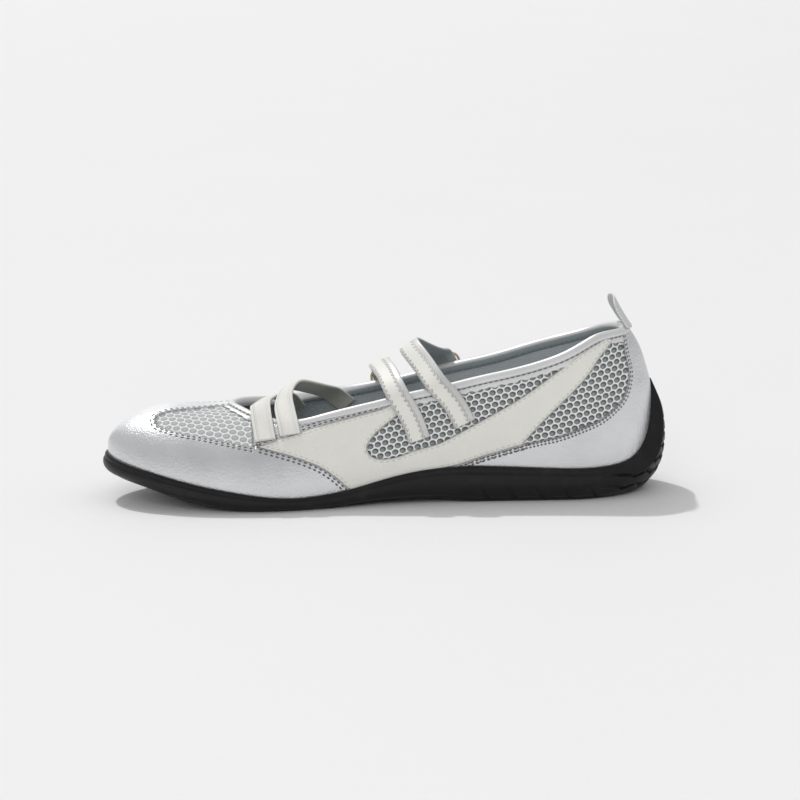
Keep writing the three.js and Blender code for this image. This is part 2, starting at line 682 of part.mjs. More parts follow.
// Closed outline through a table; rows marked corner stay sharp, the rest are rounded.
function outline(table, second) {
  const places = table.map((row) => new THREE.Vector2(
    HEEL_BACK - row.x * LENGTH,
    second === 'z' ? row.z * COLLAR_HEIGHT : row.y * BALL_WIDTH,
  ));
  const count = places.length;
  const points = [];
  for (let i = 0; i < count; i++) {
    const a = places[i];
    const b = places[(i + 1) % count];
    const before = table[i].corner ? a : places[(i + count - 1) % count];
    const after = table[(i + 1) % count].corner ? b : places[(i + 2) % count];
    const straight = table[i].corner && table[(i + 1) % count].corner;
    const parts = straight ? 1 : 2;
    for (let k = 0; k < parts; k++) {
      const u = k / parts;
      const hermite = (p) => {
        const ta = (b[p] - before[p]) * (table[i].corner ? 1 : 0.5);
        const tb = (after[p] - a[p]) * (table[(i + 1) % count].corner ? 1 : 0.5);
        return (2 * u ** 3 - 3 * u ** 2 + 1) * a[p] + (u ** 3 - 2 * u ** 2 + u) * ta
          + (3 * u ** 2 - 2 * u ** 3) * b[p] + (u ** 3 - u ** 2) * tb;
      };
      points.push(new THREE.Vector2(hermite('x'), hermite('y')));
    }
  }
  return THREE.ShapeUtils.isClockWise(points) ? points.reverse() : points;
}

// Outline grown outwards by a small distance.
function grown(points, distance) {
  const count = points.length;
  return points.map((p, i) => {
    const a = points[(i + count - 1) % count].clone();
    const b = points[(i + 1) % count].clone();
    const before = p.clone().sub(a).normalize();
    const after = b.sub(p).normalize();
    const sum = new THREE.Vector2(before.y + after.y, -before.x - after.x).normalize();
    const miter = Math.max(0.4, sum.dot(new THREE.Vector2(after.y, -after.x)));
    return p.clone().addScaledVector(sum, distance / miter);
  });
}

const CUT_REACH = 90; // cutting prisms stand well past the shoe's sides
function prism(points, direction) {
  const geometry = new THREE.ExtrudeGeometry(new THREE.Shape(points), {
    depth: 2 * CUT_REACH,
    bevelEnabled: false,
    steps: 1,
  });
  geometry.translate(0, 0, -CUT_REACH);
  if (direction === 'across') geometry.rotateX(Math.PI / 2);
  return toManifold(geometry);
}

const overlayOutline = outline(OVERLAY_SEAM, 'z');
const overlayCut = prism(grown(overlayOutline, GAP), 'across');
const windowOutline = outline(VAMP_WINDOW, 'y');
const windowCut = prism(windowOutline, 'up').add(
  prism(windowOutline.map((p) => new THREE.Vector2(p.x, -p.y * LATERAL_SCALE)).reverse(), 'up'),
);
const halfSpace = (side) => prism([
  new THREE.Vector2(-400, side < 0 ? -CUT_REACH : 0),
  new THREE.Vector2(200, side < 0 ? -CUT_REACH : 0),
  new THREE.Vector2(200, side < 0 ? 0 : CUT_REACH),
  new THREE.Vector2(-400, side < 0 ? 0 : CUT_REACH),
], 'up');

const band = shell(rail(FACING_LEG + GAP), 0, bandInner, WALL_ROWS);
const overlays = band.intersect(prism(overlayOutline, 'across'));
const toe = band.intersect(prism(outline(TOE_SEAM, 'z'), 'across')).subtract(overlayCut).subtract(windowCut);
const facing = band.intersect(prism(outline(FACING_SEAM, 'z'), 'across')).subtract(overlayCut);
const counter = band.intersect(prism(outline(COUNTER_SEAM, 'z'), 'across')).subtract(overlayCut);

// Closed sweep: rings of equal length joined in order; open runs get flat ends.
function sweep(rings, loop) {
  const grid = rings.map((ring) => [...ring, ring[0]]);
  if (loop) grid.push(grid[0]);
  const points = [];
  patch(points, grid);
  if (!loop) {
    const first = rings[0];
    const final = rings[rings.length - 1];
    for (let j = 1; j + 1 < first.length; j++) {
      points.push(first[0], first[j], first[j + 1], final[0], final[j + 1], final[j]);
    }
  }
  return closed(points);
}

// Rolled collar binding with its facing: distance below the collar line, height off the skin.
const BINDING_PROFILE = [
  { below: FACING_LEG, off: wallOuter + BINDING_SLACK - 0.05 },
  { below: FACING_LEG, off: -0.15 },
  { below: BINDING_LEG + 0.1, off: -0.15 },
  { below: BINDING_LEG, off: 0.4 },
  { below: 2.0, off: 0.75 },
  { below: 0.5, off: 0.2 },
  { below: -0.2, off: -1.5 },
  { below: 0.2, off: -3.3 },
  { below: 1.4, off: -4.0 },
  { below: BINDING_INSIDE, off: -4.0 },
  { below: BINDING_INSIDE, off: wallInner - BINDING_SLACK },
  { below: BINDING_TURN, off: wallInner - BINDING_SLACK },
  { below: BINDING_TURN, off: wallOuter + BINDING_SLACK - 0.05 },
];
const bindingRails = BINDING_PROFILE.map((row) => rail(row.below));
const binding = sweep(collarLoop.map((_, i) => BINDING_PROFILE.map((row, j) => {
  const place = bindingRails[j][i];
  return at(place.turn, place.girth, row.off);
})), true);

// A spot on a wall: station, share of the wall's height in girth (1 at the collar), depth.
function wallSpot(side, station, up, depth) {
  const girth = collarGirth[side](collarKey(station)) * up;
  const place = { turn: turnOf(station), girth: side === 'medial' ? girth : 1 - girth };
  return {
    point: at(place.turn, place.girth, depth),
    off: normal(place.turn, place.girth),
  };
}

// Strap lines from the medial end to the lateral end. Rows with a side lie on that wall; rows
// without one stand free: station, out (share of the ball width), high (share of the collar height).
const REST = GAP + STRAP_THICK / 2; // strap centre over bare leather
const OVER = 1.2 + STRAP_THICK / 2; // strap centre over the binding
const RAISED = 3.6; // strap centre over the buckle's bar
const INNER = -4 - GAP - STRAP_THICK / 2; // strap centre inside the collar
const LINES = {
  elastic_front: [
    { side: 'medial', station: 0.7160, up: 0.62, depth: REST },
    { side: 'medial', station: 0.7200, up: 0.84, depth: 1.5 },
    { side: 'medial', station: 0.7210, up: 1.03, depth: OVER + 0.3 },
    { station: 0.7180, out: -0.120, high: 0.577 },
    { station: 0.698, out: -0.020, high: 0.592 },
    { station: 0.676, out: 0.095, high: 0.575 },
    { side: 'lateral', station: 0.655, up: 0.97, depth: INNER },
    { side: 'lateral', station: 0.648, up: 0.84, depth: INNER },
  ],
  elastic_rear: [
    { side: 'medial', station: 0.6710, up: 0.75, depth: REST },
    { side: 'medial', station: 0.6735, up: 0.90, depth: 1.75 },
    { side: 'medial', station: 0.6755, up: 1.03, depth: OVER + 0.1 },
    { station: 0.6770, out: -0.165, high: 0.622 },
    { station: 0.664, out: -0.075, high: 0.668 },
    { station: 0.642, out: 0.020, high: 0.652 },
    { station: 0.600, out: 0.155, high: 0.590 },
    { side: 'lateral', station: 0.562, up: 0.88, depth: INNER - 0.4 },
    { side: 'lateral', station: 0.545, up: 0.74, depth: INNER },
  ],
  strap_front: [
    { side: 'medial', station: 0.4340, up: 0.43, depth: -0.1 },
    { side: 'medial', station: 0.4500, up: 0.70, depth: 1.1 },
    { side: 'medial', station: 0.4730, up: 1.00, depth: OVER },
    { station: 0.4870, out: -0.200, high: 0.752 },
    { station: 0.4965, out: -0.030, high: 0.784 },
    { station: 0.4920, out: 0.120, high: 0.756 },
    { station: 0.4840, out: 0.270, high: 0.700 },
    { side: 'lateral', station: 0.4780, up: 1.07, depth: RAISED - 0.2 },
    { side: 'lateral', station: 0.4740, up: 0.90, depth: RAISED },
    { side: 'lateral', station: 0.4680, up: 0.62, depth: RAISED - 0.2 },
  ],
  strap_rear: [
    { side: 'medial', station: 0.3500, up: 0.53, depth: -0.1 },
    { side: 'medial', station: 0.3720, up: 0.78, depth: 1.2 },
    { side: 'medial', station: 0.3980, up: 1.00, depth: OVER + 0.15 },
    { station: 0.4230, out: -0.200, high: 0.815 },
    { station: 0.4420, out: -0.020, high: 0.893 },
    { station: 0.4200, out: 0.108, high: 0.843 },
    { station: 0.3780, out: 0.285, high: 0.762 },
    { side: 'lateral', station: 0.3630, up: 1.03, depth: RAISED - 0.2 },
    { side: 'lateral', station: 0.3540, up: 0.90, depth: RAISED },
    { side: 'lateral', station: 0.3420, up: 0.62, depth: RAISED - 0.2 },
  ],
  anchor_front: [
    { side: 'lateral', station: 0.4600, up: 0.26, depth: GAP + ANCHOR_THICK / 2 },
    { side: 'lateral', station: 0.4680, up: 0.62, depth: 1.1 },
    { side: 'lateral', station: 0.4738, up: 0.845, depth: 1.12 + ANCHOR_THICK / 2 },
  ],
  anchor_rear: [
    { side: 'lateral', station: 0.3300, up: 0.28, depth: GAP + ANCHOR_THICK / 2 },
    { side: 'lateral', station: 0.3420, up: 0.62, depth: 1.1 },
    { side: 'lateral', station: 0.3535, up: 0.845, depth: 1.12 + ANCHOR_THICK / 2 },
  ],
};

// Points, lengthwise, width and outward directions along a strap line.
function strapFrames(rows, count) {
  const spots = rows.map((row) => {
    if (row.side) return wallSpot(row.side, row.station, row.up, row.depth);
    const point = new THREE.Vector3(
      HEEL_BACK - row.station * LENGTH,
      row.out * BALL_WIDTH,
      row.high * COLLAR_HEIGHT,
    );
    return { point, off: null };
  });
  const keys = [0];
  for (let i = 1; i < spots.length; i++) keys.push(keys[i - 1] + spots[i].point.distanceTo(spots[i - 1].point));
  const line = ['x', 'y', 'z'].map((axis) => curve(keys, spots.map((spot) => spot.point[axis])));
  const place = (key) => new THREE.Vector3(line[0](key), line[1](key), line[2](key));
  const start = spots[0].point;
  const middle = spots[Math.floor(spots.length / 2)].point;
  const finish = spots[spots.length - 1].point;
  const flat = middle.clone().sub(start).cross(finish.clone().sub(start)).normalize();
  if (flat.x < 0) flat.negate();
  if (rows[0].side === rows[rows.length - 1].side) flat.set(1, 0, 0.3);
  const widths = spots.map((spot) => {
    const width = flat.clone();
    if (spot.off) width.addScaledVector(spot.off, -width.dot(spot.off));
    return width.normalize();
  });
  const wide = ['x', 'y', 'z'].map((axis) => curve(keys, widths.map((width) => width[axis])));
  const total = keys[keys.length - 1];
  const frames = [];
  for (let i = 0; i <= count; i++) {
    const key = total * i / count;
    const along = place(Math.min(key + 0.1, total)).sub(place(Math.max(key - 0.1, 0))).normalize();
    const width = new THREE.Vector3(wide[0](key), wide[1](key), wide[2](key));
    width.addScaledVector(along, -width.dot(along)).normalize();
    const off = width.clone().cross(along).normalize();
    frames.push({ point: place(key), along, width, off });
  }
  return frames;
}

// Flat strap with eased edges along a line.
const EASE = 0.35;
function ribbon(rows, width, thick, count) {
  const w = width / 2;
  const t = thick / 2;
  const section = [
    [-w, -t + EASE], [-w, t - EASE], [-w + EASE, t], [w - EASE, t],
    [w, t - EASE], [w, -t + EASE], [w - EASE, -t], [-w + EASE, -t],
  ];
  return sweep(strapFrames(rows, count).map((frame) => section.map(([a, b]) => frame.point.clone()
    .addScaledVector(frame.width, a).addScaledVector(frame.off, b))), false);
}

// Buckle: a saddle-shaped frame over the strap, a bar under it and the tongue through it.
const BUCKLE_LENGTH = 11;
const BUCKLE_WIDTH = 14;
const WIRE = 0.6;
const BAR_DROP = WIRE + GAP + 0.25 + STRAP_THICK / 2; // bar's and end wires' centre from the strap's
const WIRE_SIDES = 6;
const RING_CORNERS = 12;
const RING_STEPS = 20;
const SQUARENESS = 0.5; // 1 makes the ring an ellipse, less squares it
// Tongue's line from the bar: along the strap, off it.
const TONGUE = [
  { along: 0, off: -BAR_DROP },
  { along: 1.7, off: -0.2 },
  { along: 3.6, off: BAR_DROP + 0.2 },
  { along: BUCKLE_LENGTH / 2 + 0.9, off: BAR_DROP + WIRE + 0.3 },
];
const TONGUE_WIRE = 0.51;
const TONGUE_STEPS = 4;
const SLOT_REACH = 3; // slot's cutter, each way from the strap's middle
const TONGUE_SLOT = { from: -1.2, to: 5.4, width: 2 };

function wireThrough(places, loop, radius, steps) {
  const path = new THREE.CatmullRomCurve3(places, loop);
  const shape = new THREE.Shape();
  for (let i = 0; i < WIRE_SIDES; i++) {
    const angle = 2 * Math.PI * i / WIRE_SIDES;
    if (i === 0) shape.moveTo(radius, 0);
    else shape.lineTo(radius * Math.cos(angle), radius * Math.sin(angle));
  }
  return toManifold(new THREE.ExtrudeGeometry(shape, { steps, extrudePath: path, bevelEnabled: false }));
}

function buckleFrame(rows) {
  const spot = rows[rows.length - 2];
  const { point, off } = wallSpot(spot.side, spot.station, spot.up, RAISED);
  const below = wallSpot(spot.side, rows[rows.length - 1].station, rows[rows.length - 1].up, RAISED);
  const down = below.point.clone().sub(point);
  down.addScaledVector(off, -down.dot(off)).normalize();
  const wide = down.clone().cross(off).normalize();
  return (a, w, n) => point.clone().addScaledVector(down, a)
    .addScaledVector(wide, w).addScaledVector(off, n);
}

function buckle(rows) {
  const place = buckleFrame(rows);
  const loop = [];
  for (let i = 0; i < RING_CORNERS; i++) {
    const angle = 2 * Math.PI * i / RING_CORNERS;
    const a = BUCKLE_LENGTH / 2 * Math.sign(Math.sin(angle)) * Math.abs(Math.sin(angle)) ** SQUARENESS;
    const w = BUCKLE_WIDTH / 2 * Math.sign(Math.cos(angle)) * Math.abs(Math.cos(angle)) ** SQUARENESS;
    const n = BAR_DROP * (2 * (2 * a / BUCKLE_LENGTH) ** 2 - 1);
    loop.push(place(a, w, n));
  }
  const ring = wireThrough(loop, true, WIRE, RING_STEPS);
  const ends = [-1, 1].map((side) => place(0, side * BUCKLE_WIDTH / 2, -BAR_DROP));
  const bar = wireThrough(ends, false, WIRE, 1);
  const spots = TONGUE.map((row) => place(row.along, 0, row.off));
  const tongue = wireThrough(spots, false, TONGUE_WIRE, TONGUE_STEPS);
  return ring.add(bar).add(tongue);
}

function tongueSlot(rows) {
  const place = buckleFrame(rows);
  const w = TONGUE_SLOT.width / 2;
  const rings = [TONGUE_SLOT.from, TONGUE_SLOT.to].map((a) => [
    place(a, -w, -SLOT_REACH), place(a, w, -SLOT_REACH), place(a, w, SLOT_REACH), place(a, -w, SLOT_REACH),
  ]);
  return sweep(rings, false);
}

// Pull tab: a folded loop standing on the heel's back, following the skin above the collar.
const TAB_FOOT = 0.972; // lower end, share of the collar height
const TAB_RISE = 1.165; // top, share of the collar height
const TAB_OFF = 1.07; // inner face off the skin
const TAB_THICK = 0.9;
const TAB_CORNER = { drop: 0.09, power: 1.6, lift: 0.02 }; // rounding of the top and foot
const TAB_COLUMNS = 8;
const TAB_ROWS = 4;
const TAB_REACH = 0.2; // turn past the tab's widest place
const HALVINGS = 24; // of that turn, to find a column's place
function pullTab() {
  const level = (z) => Math.asin(clamp((z - SOLE_HEIGHT) / crownHeight(0), 0, 1)) / Math.PI;
  const faces = [TAB_OFF, TAB_OFF + TAB_THICK].map((off) => {
    const grid = [];
    for (let i = 0; i <= TAB_COLUMNS; i++) {
      const across = 2 * i / TAB_COLUMNS - 1;
      const wide = TAB_HALF_WIDTH * Math.sin(across * Math.PI / 2);
      const line = [];
      for (let j = 0; j <= TAB_ROWS; j++) {
        const narrow = Math.sqrt(Math.max(0, 1 - (wide / TAB_HALF_WIDTH) ** 2));
        const top = COLLAR_HEIGHT * (TAB_RISE - TAB_CORNER.drop * (1 - narrow) ** TAB_CORNER.power);
        const foot = COLLAR_HEIGHT * (TAB_FOOT + TAB_CORNER.lift * (1 - narrow));
        const z = foot + (top - foot) * j / TAB_ROWS;
        let low = 0;
        let high = TAB_REACH;
        const girth = level(z);
        for (let k = 0; k < HALVINGS; k++) {
          const middle = (low + high) / 2;
          if (Math.abs(skin(middle, girth).y) < Math.abs(wide)) low = middle;
          else high = middle;
        }
        line.push(at(wide < 0 ? low : -low, girth, off));
      }
      grid.push(line);
    }
    return grid;
  });
  const points = [];
  const [inner, outer] = faces;
  patch(points, outer);
  patch(points, inner, true);
  const ends = (pick) => [inner.map(pick), outer.map(pick)];
  patch(points, ends((line) => line[0]), true);
  patch(points, ends((line) => line[TAB_ROWS]));
  patch(points, [inner[0], outer[0]]);
  patch(points, [inner[TAB_COLUMNS], outer[TAB_COLUMNS]], true);
  return closed(points);
}

const group = new THREE.Group();
group.name = 'strap_flat';

const FLATNESS = 0.055; // facets nearer to one plane than this are joined
function addPiece(name, solid, colour, roughness, metalness) {
  const mesh = solid.simplify(FLATNESS).getMesh();
  const geometry = new THREE.BufferGeometry();
  geometry.setAttribute('position', new THREE.BufferAttribute(new Float32Array(mesh.vertProperties), 3));
  geometry.setIndex(new THREE.BufferAttribute(new Uint32Array(mesh.triVerts), 1));
  geometry.computeVertexNormals();
  const material = new THREE.MeshStandardMaterial({ color: colour, roughness, metalness });
  const piece = new THREE.Mesh(geometry, material);
  piece.name = name;
  group.add(piece);
}

const SILVER = 0xc4c6c8;
const CREAM = 0xd6d4cd;
const PIPING = 0xd9dadb;
const ELASTIC_STEPS = 12;
const STRAP_STEPS = 16;
const ANCHOR_STEPS = 5;
const ANCHOR_INSET = 1; // anchors are narrower than the straps
addPiece('outsole', sole, 0x262425, 0.6, 0);
addPiece('upper', wall, 0xb4b8ba, 0.8, 0);
addPiece('insole', insole, 0x8f9496, 0.9, 0);
addPiece('toe_mudguard', toe, SILVER, 0.35, 0.6);
addPiece('medial_facing', facing.intersect(halfSpace(-1)), SILVER, 0.35, 0.6);
addPiece('lateral_facing', facing.intersect(halfSpace(1)), SILVER, 0.35, 0.6);
addPiece('medial_overlay', overlays.intersect(halfSpace(-1)), CREAM, 0.5, 0);
addPiece('lateral_overlay', overlays.intersect(halfSpace(1)), CREAM, 0.5, 0);
addPiece('heel_counter', counter, SILVER, 0.35, 0.6);
const bindingFrom = (x, sense) => binding.trimByPlane([sense, 0, 0], sense * x + GAP / 2);
addPiece('collar_binding', bindingFrom(BINDING_JOINT, 1), PIPING, 0.4, 0.3);
addPiece('throat_binding', bindingFrom(BINDING_JOINT, -1), PIPING, 0.4, 0.3);
addPiece('heel_tab', pullTab(), 0xc8c8c8, 0.7, 0);
for (const name of ['elastic_front', 'elastic_rear']) {
  addPiece(name, ribbon(LINES[name], ELASTIC_WIDTH, STRAP_THICK, ELASTIC_STEPS), CREAM, 0.8, 0);
}
for (const end of ['front', 'rear']) {
  const rows = LINES[`strap_${end}`];
  const strap = ribbon(rows, STRAP_WIDTH, STRAP_THICK, STRAP_STEPS).subtract(tongueSlot(rows));
  addPiece(`strap_${end}`, strap, CREAM, 0.5, 0);
  const anchor = ribbon(LINES[`anchor_${end}`], STRAP_WIDTH - ANCHOR_INSET, ANCHOR_THICK, ANCHOR_STEPS);
  addPiece(`anchor_${end}`, anchor, CREAM, 0.5, 0);
  addPiece(`buckle_${end}`, buckle(rows), 0xcdb98c, 0.25, 1);
}

export default group;
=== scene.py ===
import math

import bpy
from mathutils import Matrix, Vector
import numpy as np


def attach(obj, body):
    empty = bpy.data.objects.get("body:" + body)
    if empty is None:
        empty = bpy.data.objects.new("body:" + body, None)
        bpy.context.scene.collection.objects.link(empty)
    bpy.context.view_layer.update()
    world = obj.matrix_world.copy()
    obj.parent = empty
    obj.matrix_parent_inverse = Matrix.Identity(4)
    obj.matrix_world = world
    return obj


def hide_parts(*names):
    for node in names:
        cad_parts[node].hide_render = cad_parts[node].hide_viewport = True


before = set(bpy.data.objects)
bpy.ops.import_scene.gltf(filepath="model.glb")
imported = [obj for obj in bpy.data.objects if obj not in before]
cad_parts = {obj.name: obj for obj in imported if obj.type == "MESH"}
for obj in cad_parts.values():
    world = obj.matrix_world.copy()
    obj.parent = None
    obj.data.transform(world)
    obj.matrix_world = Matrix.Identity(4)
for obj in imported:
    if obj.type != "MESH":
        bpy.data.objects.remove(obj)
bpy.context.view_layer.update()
MM = 0.001

# Sizes of the shoe in mm, as in the part's source.
LENGTH = 244.5
HEEL_BACK = 27.0
BALL_WIDTH = 84.6
COLLAR_HEIGHT = 76.0
SOLE_HEIGHT = 10.5
WALL = 1.5
SKIN = 0.9
GAP = 0.32
LAYER_GAP = 0.38
HEEL_ROUND = 0.16
TOE_ROUND = 0.3
TOE_NOSE = 0.135
TOE_EDGE_RISE = 0.11
TUCK = 0.05
THROAT = 0.763
BINDING_LEG = 3.7
FACING_LEG = 6.3
BINDING_INSIDE = 4.2
BINDING_TURN = 1.3
BINDING_SLACK = 0.5
STRAP_WIDTH = 10.0
ELASTIC_WIDTH = 9.2
STRAP_THICK = 1.4
ANCHOR_THICK = 1.1
INSOLE_THICK = 2.4
TAB_HALF_WIDTH = 10.0
WALL_OUTER = -SKIN - LAYER_GAP
WALL_INNER = WALL_OUTER - WALL

# Last: station, medial, lateral, ridge, edge, crown, square.
LAST = np.array([
    (0.00, 0.366, 0.366, 0, 1.00, 1.408, 2.0),
    (0.10, 0.361, 0.364, 0, 1.00, 1.355, 2.0),
    (0.19, 0.358, 0.366, 0, 1.05, 1.289, 2.0),
    (0.27, 0.352, 0.374, 0, 1.10, 1.211, 2.0),
    (0.36, 0.350, 0.392, 0, 1.10, 1.105, 2.05),
    (0.44, 0.359, 0.426, 0, 0.97, 0.974, 2.1),
    (0.52, 0.383, 0.466, 0, 0.705, 0.809, 2.2),
    (0.60, 0.426, 0.506, -0.001, 0.438, 0.645, 2.25),
    (0.68, 0.463, 0.530, -0.004, 0.305, 0.549, 2.3),
    (0.765, 0.473, 0.527, -0.009, 0.438, 0.499, 2.3),
    (0.85, 0.475, 0.508, -0.019, 0.80, 0.441, 2.25),
    (0.93, 0.475, 0.485, -0.028, 1.22, 0.388, 2.2),
    (1.00, 0.473, 0.461, -0.035, 1.57, 0.325, 2.2),
])
# Heel's back: height, shift.
HEEL_PROFILE = np.array([
    (0, 0), (0.132, 0.0082), (0.263, 0.0127), (0.395, 0.0131), (0.526, 0.0094),
    (0.605, 0.0025), (0.697, -0.0067), (0.789, -0.0212), (0.868, -0.0380), (1.053, -0.0710),
])
# Collar line: station, medial, lateral.
COLLAR = np.array([
    (0.000, 0.2105, 0.2105), (0.040, 0.2135, 0.2060), (0.084, 0.2140, 0.1975),
    (0.131, 0.2028, 0.1900), (0.172, 0.1908, 0.1850), (0.210, 0.1835, 0.1800),
    (0.248, 0.1788, 0.1740), (0.320, 0.1734, 0.1655), (0.380, 0.1720, 0.1630),
    (0.431, 0.1795, 0.1645), (0.468, 0.1895, 0.1710), (0.500, 0.2010, 0.1820),
    (0.560, 0.2390, 0.2220), (0.606, 0.2730, 0.2720), (0.650, 0.2960, 0.3130),
    (0.678, 0.3160, 0.3380), (0.708, 0.3520, 0.3720), (0.740, 0.4130, 0.4260),
    (0.754, 0.4560, 0.4620), (0.763, 0.5000, 0.5000),
])
# Sole rim: turn, height.
RIM = np.array([
    (0.0000, 4.77), (0.0140, 4.66), (0.0270, 4.30), (0.0400, 3.72), (0.0540, 3.06),
    (0.0690, 2.52), (0.0850, 2.18), (0.1100, 1.80), (0.1440, 1.55), (0.1800, 1.45),
    (0.2750, 1.44), (0.3590, 1.57), (0.4090, 1.60), (0.4570, 1.46), (0.5045, 1.11),
    (0.5400, 0.80), (0.5760, 0.61), (0.6120, 0.56), (0.6610, 0.73), (0.7340, 1.13),
    (0.7755, 1.37), (0.8250, 1.63), (0.9080, 1.92), (1.0000, 2.08),
])
# Side of the rubber: share, back, side, toe.
SOLE_SIDE = np.array([
    (0.00, -3.6, -4.4, -12), (0.02, -1.0, -2.4, -10), (0.08, 2.6, -0.8, -7.5),
    (0.16, 5.8, 0.4, -4.8), (0.25, 7.5, 1.3, -2.6), (0.37, 7.7, 2.0, 0),
    (0.51, 7.1, 2.4, 1.8), (0.65, 6.1, 2.5, 2.4), (0.79, 4.5, 2.4, 2.2),
    (0.90, 2.4, 2.0, 1.7), (1.00, 0.7, 1.5, 1.0),
])
RIM_SLOPE = 1.0
ARCH_LIFT = 0.19
TOE_LIFT = 0.81
TREAD_ZONES = ((0.1104, 2, 4), (0.6687, 3, 6))
TREAD_PITCH = 0.0368
ARCH_START, ARCH_RISE = 0.32, 0.1
ARCH_END, ARCH_FALL = 0.61, 0.13
SPRING_START, SPRING_LENGTH = 0.735, 0.265
BACK_BLEND = 0.13
TOE_BLEND_START, TOE_BLEND_LENGTH = 0.84, 0.16
SLOPE_STEP = 0.002
ROLL_PITCH = 2.7


def curve(xs, ys):
    """Natural cubic spline: bends solve the usual three-term system, values mix them cubically."""
    xs = np.asarray(xs, float)
    ys = np.asarray(ys, float)
    n = len(xs)
    step = np.diff(xs)
    system = np.eye(n)
    rhs = np.zeros(n)
    for i in range(1, n - 1):
        system[i, i - 1: i + 2] = step[i - 1], 2 * (step[i - 1] + step[i]), step[i]
        rhs[i] = 6 * ((ys[i + 1] - ys[i]) / step[i] - (ys[i] - ys[i - 1]) / step[i - 1])
    bend = np.linalg.solve(system, rhs)

    def value(at):
        x = np.clip(at, xs[0], xs[-1])
        i = np.clip(np.searchsorted(xs, x, side="right") - 1, 0, n - 2)
        h = step[i]
        a = (xs[i + 1] - x) / h
        b = (x - xs[i]) / h
        bent = (a**3 - a) * bend[i] + (b**3 - b) * bend[i + 1]
        return a * ys[i] + b * ys[i + 1] + bent * h * h / 6

    return value


def smooth(x):
    """Smooth step from 0 to 1."""
    x = np.clip(x, 0, 1)
    return x * x * (3 - 2 * x)


def circle_in(x):
    """Quarter-circle ease: 0 at 0 with a steep start, level at 1."""
    return np.sqrt(np.maximum(0, 1 - np.clip(1 - x, 0, 1) ** 2))


def unit(v):
    """Vectors at length 1."""
    return v / np.maximum(np.linalg.norm(v, axis=-1, keepdims=True), 1e-12)


def dot(a, b):
    """Dot products, kept as a last axis of 1."""
    return np.sum(a * b, axis=-1, keepdims=True)


LAST_NAMES = ("medial", "lateral", "ridge", "edge", "crown", "square")
last = {name: curve(LAST[:, 0], LAST[:, i + 1]) for i, name in enumerate(LAST_NAMES)}
heel_shift = curve(HEEL_PROFILE[:, 0], HEEL_PROFILE[:, 1])
rim_height = curve(RIM[:, 0], RIM[:, 1])
sole_out = {
    name: curve(SOLE_SIDE[:, 0], SOLE_SIDE[:, column])
    for column, name in enumerate(("back", "side", "toe"), 1)
}


def station_of(turn):
    """Station along the last for a turn: 0 at the heel, 1 at the toe."""
    return (1 - np.cos(np.pi * turn)) / 2


def turn_of(station):
    """Turn for a station."""
    return np.arccos(1 - 2 * np.clip(station, 0, 1)) / np.pi


def edge_height(station):
    """Height of the last's lower edge."""
    return last["edge"](station) * SOLE_HEIGHT


def crown_height(station):
    """Height of the last over its edge, drawn in at the toe."""
    nose = TOE_EDGE_RISE * COLLAR_HEIGHT
    return nose + (last["crown"](station) * COLLAR_HEIGHT - nose) * circle_in((1 - station) / TOE_NOSE)


def skin(turn, girth):
    """Outer skin: sections are super-ellipses by girth share, placed station by station on the last."""
    turn, girth = np.broadcast_arrays(np.asarray(turn, float), np.asarray(girth, float))
    over = (turn < 0) | (turn > 1)
    t = np.where(turn < 0, -turn, np.where(turn > 1, 2 - turn, turn))
    g = np.where(over, 1 - girth, girth)
    station = station_of(t)
    across = np.cos(np.pi * g)
    rise = np.abs(np.sin(np.pi * g))
    power = 2 / last["square"](station)
    ends = circle_in(station / HEEL_ROUND) * circle_in((1 - station) / TOE_ROUND)
    half = np.where(across > 0, last["medial"](station), last["lateral"](station)) * BALL_WIDTH * ends
    height = crown_height(station) * rise**power
    lean = heel_shift(height / COLLAR_HEIGHT) * LENGTH * np.clip(1 - station / 0.3, 0, 1) ** 2
    tuck = 1 - TUCK * (1 - rise) ** 3
    return np.stack([
        HEEL_BACK - station * LENGTH + lean,
        last["ridge"](station) * BALL_WIDTH - np.sign(across) * half * np.abs(across) ** power * tuck,
        edge_height(station) + height,
    ], -1)


def slopes(turn, girth):
    """Slopes of the skin along and around."""
    e = SLOPE_STEP
    along = (skin(turn + e, girth) - skin(turn - e, girth)) / (2 * e)
    low = np.maximum(girth - e, 0)
    high = np.minimum(girth + e, 1)
    around = (skin(turn, high) - skin(turn, low)) / (high - low)[..., None]
    return along, around


def normal(turn, girth):
    """The skin's normal, outwards."""
    along, around = slopes(turn, girth)
    return unit(np.cross(around, along))


def at(turn, girth, depth):
    """Point a depth off the outer skin along its normal: + outwards, - into the shoe."""
    turn, girth = np.broadcast_arrays(np.asarray(turn, float), np.asarray(girth, float))
    depth = np.broadcast_to(depth, turn.shape)
    return skin(turn, girth) + normal(turn, girth) * depth[..., None]


def walk(turn, girth, direction, distance):
    """Follow the skin a distance in a direction: four steps, each solved in the two slopes."""
    steps = 4
    stride = np.broadcast_to(distance, turn.shape)[..., None] / steps
    for _ in range(steps):
        along, around = slopes(turn, girth)
        n = unit(np.cross(around, along))
        step = unit(direction - n * dot(direction, n)) * stride
        aa, ab, bb = (dot(along, along)[..., 0], dot(along, around)[..., 0], dot(around, around)[..., 0])
        sa, sb = dot(step, along)[..., 0], dot(step, around)[..., 0]
        det = aa * bb - ab * ab
        turn = turn + (sa * bb - sb * ab) / det
        girth = girth + (sb * aa - sa * ab) / det
    return turn, girth


def collar_key(station):
    """Key of the collar's curves, steady where the line turns at the throat."""
    return np.sqrt(np.maximum(0, 1 - station / THROAT))


collar_girth = {
    name: curve(collar_key(COLLAR[::-1, 0]), COLLAR[::-1, column])
    for column, name in enumerate(("medial", "lateral"), 1)
}
THROAT_TURN = float(turn_of(THROAT))


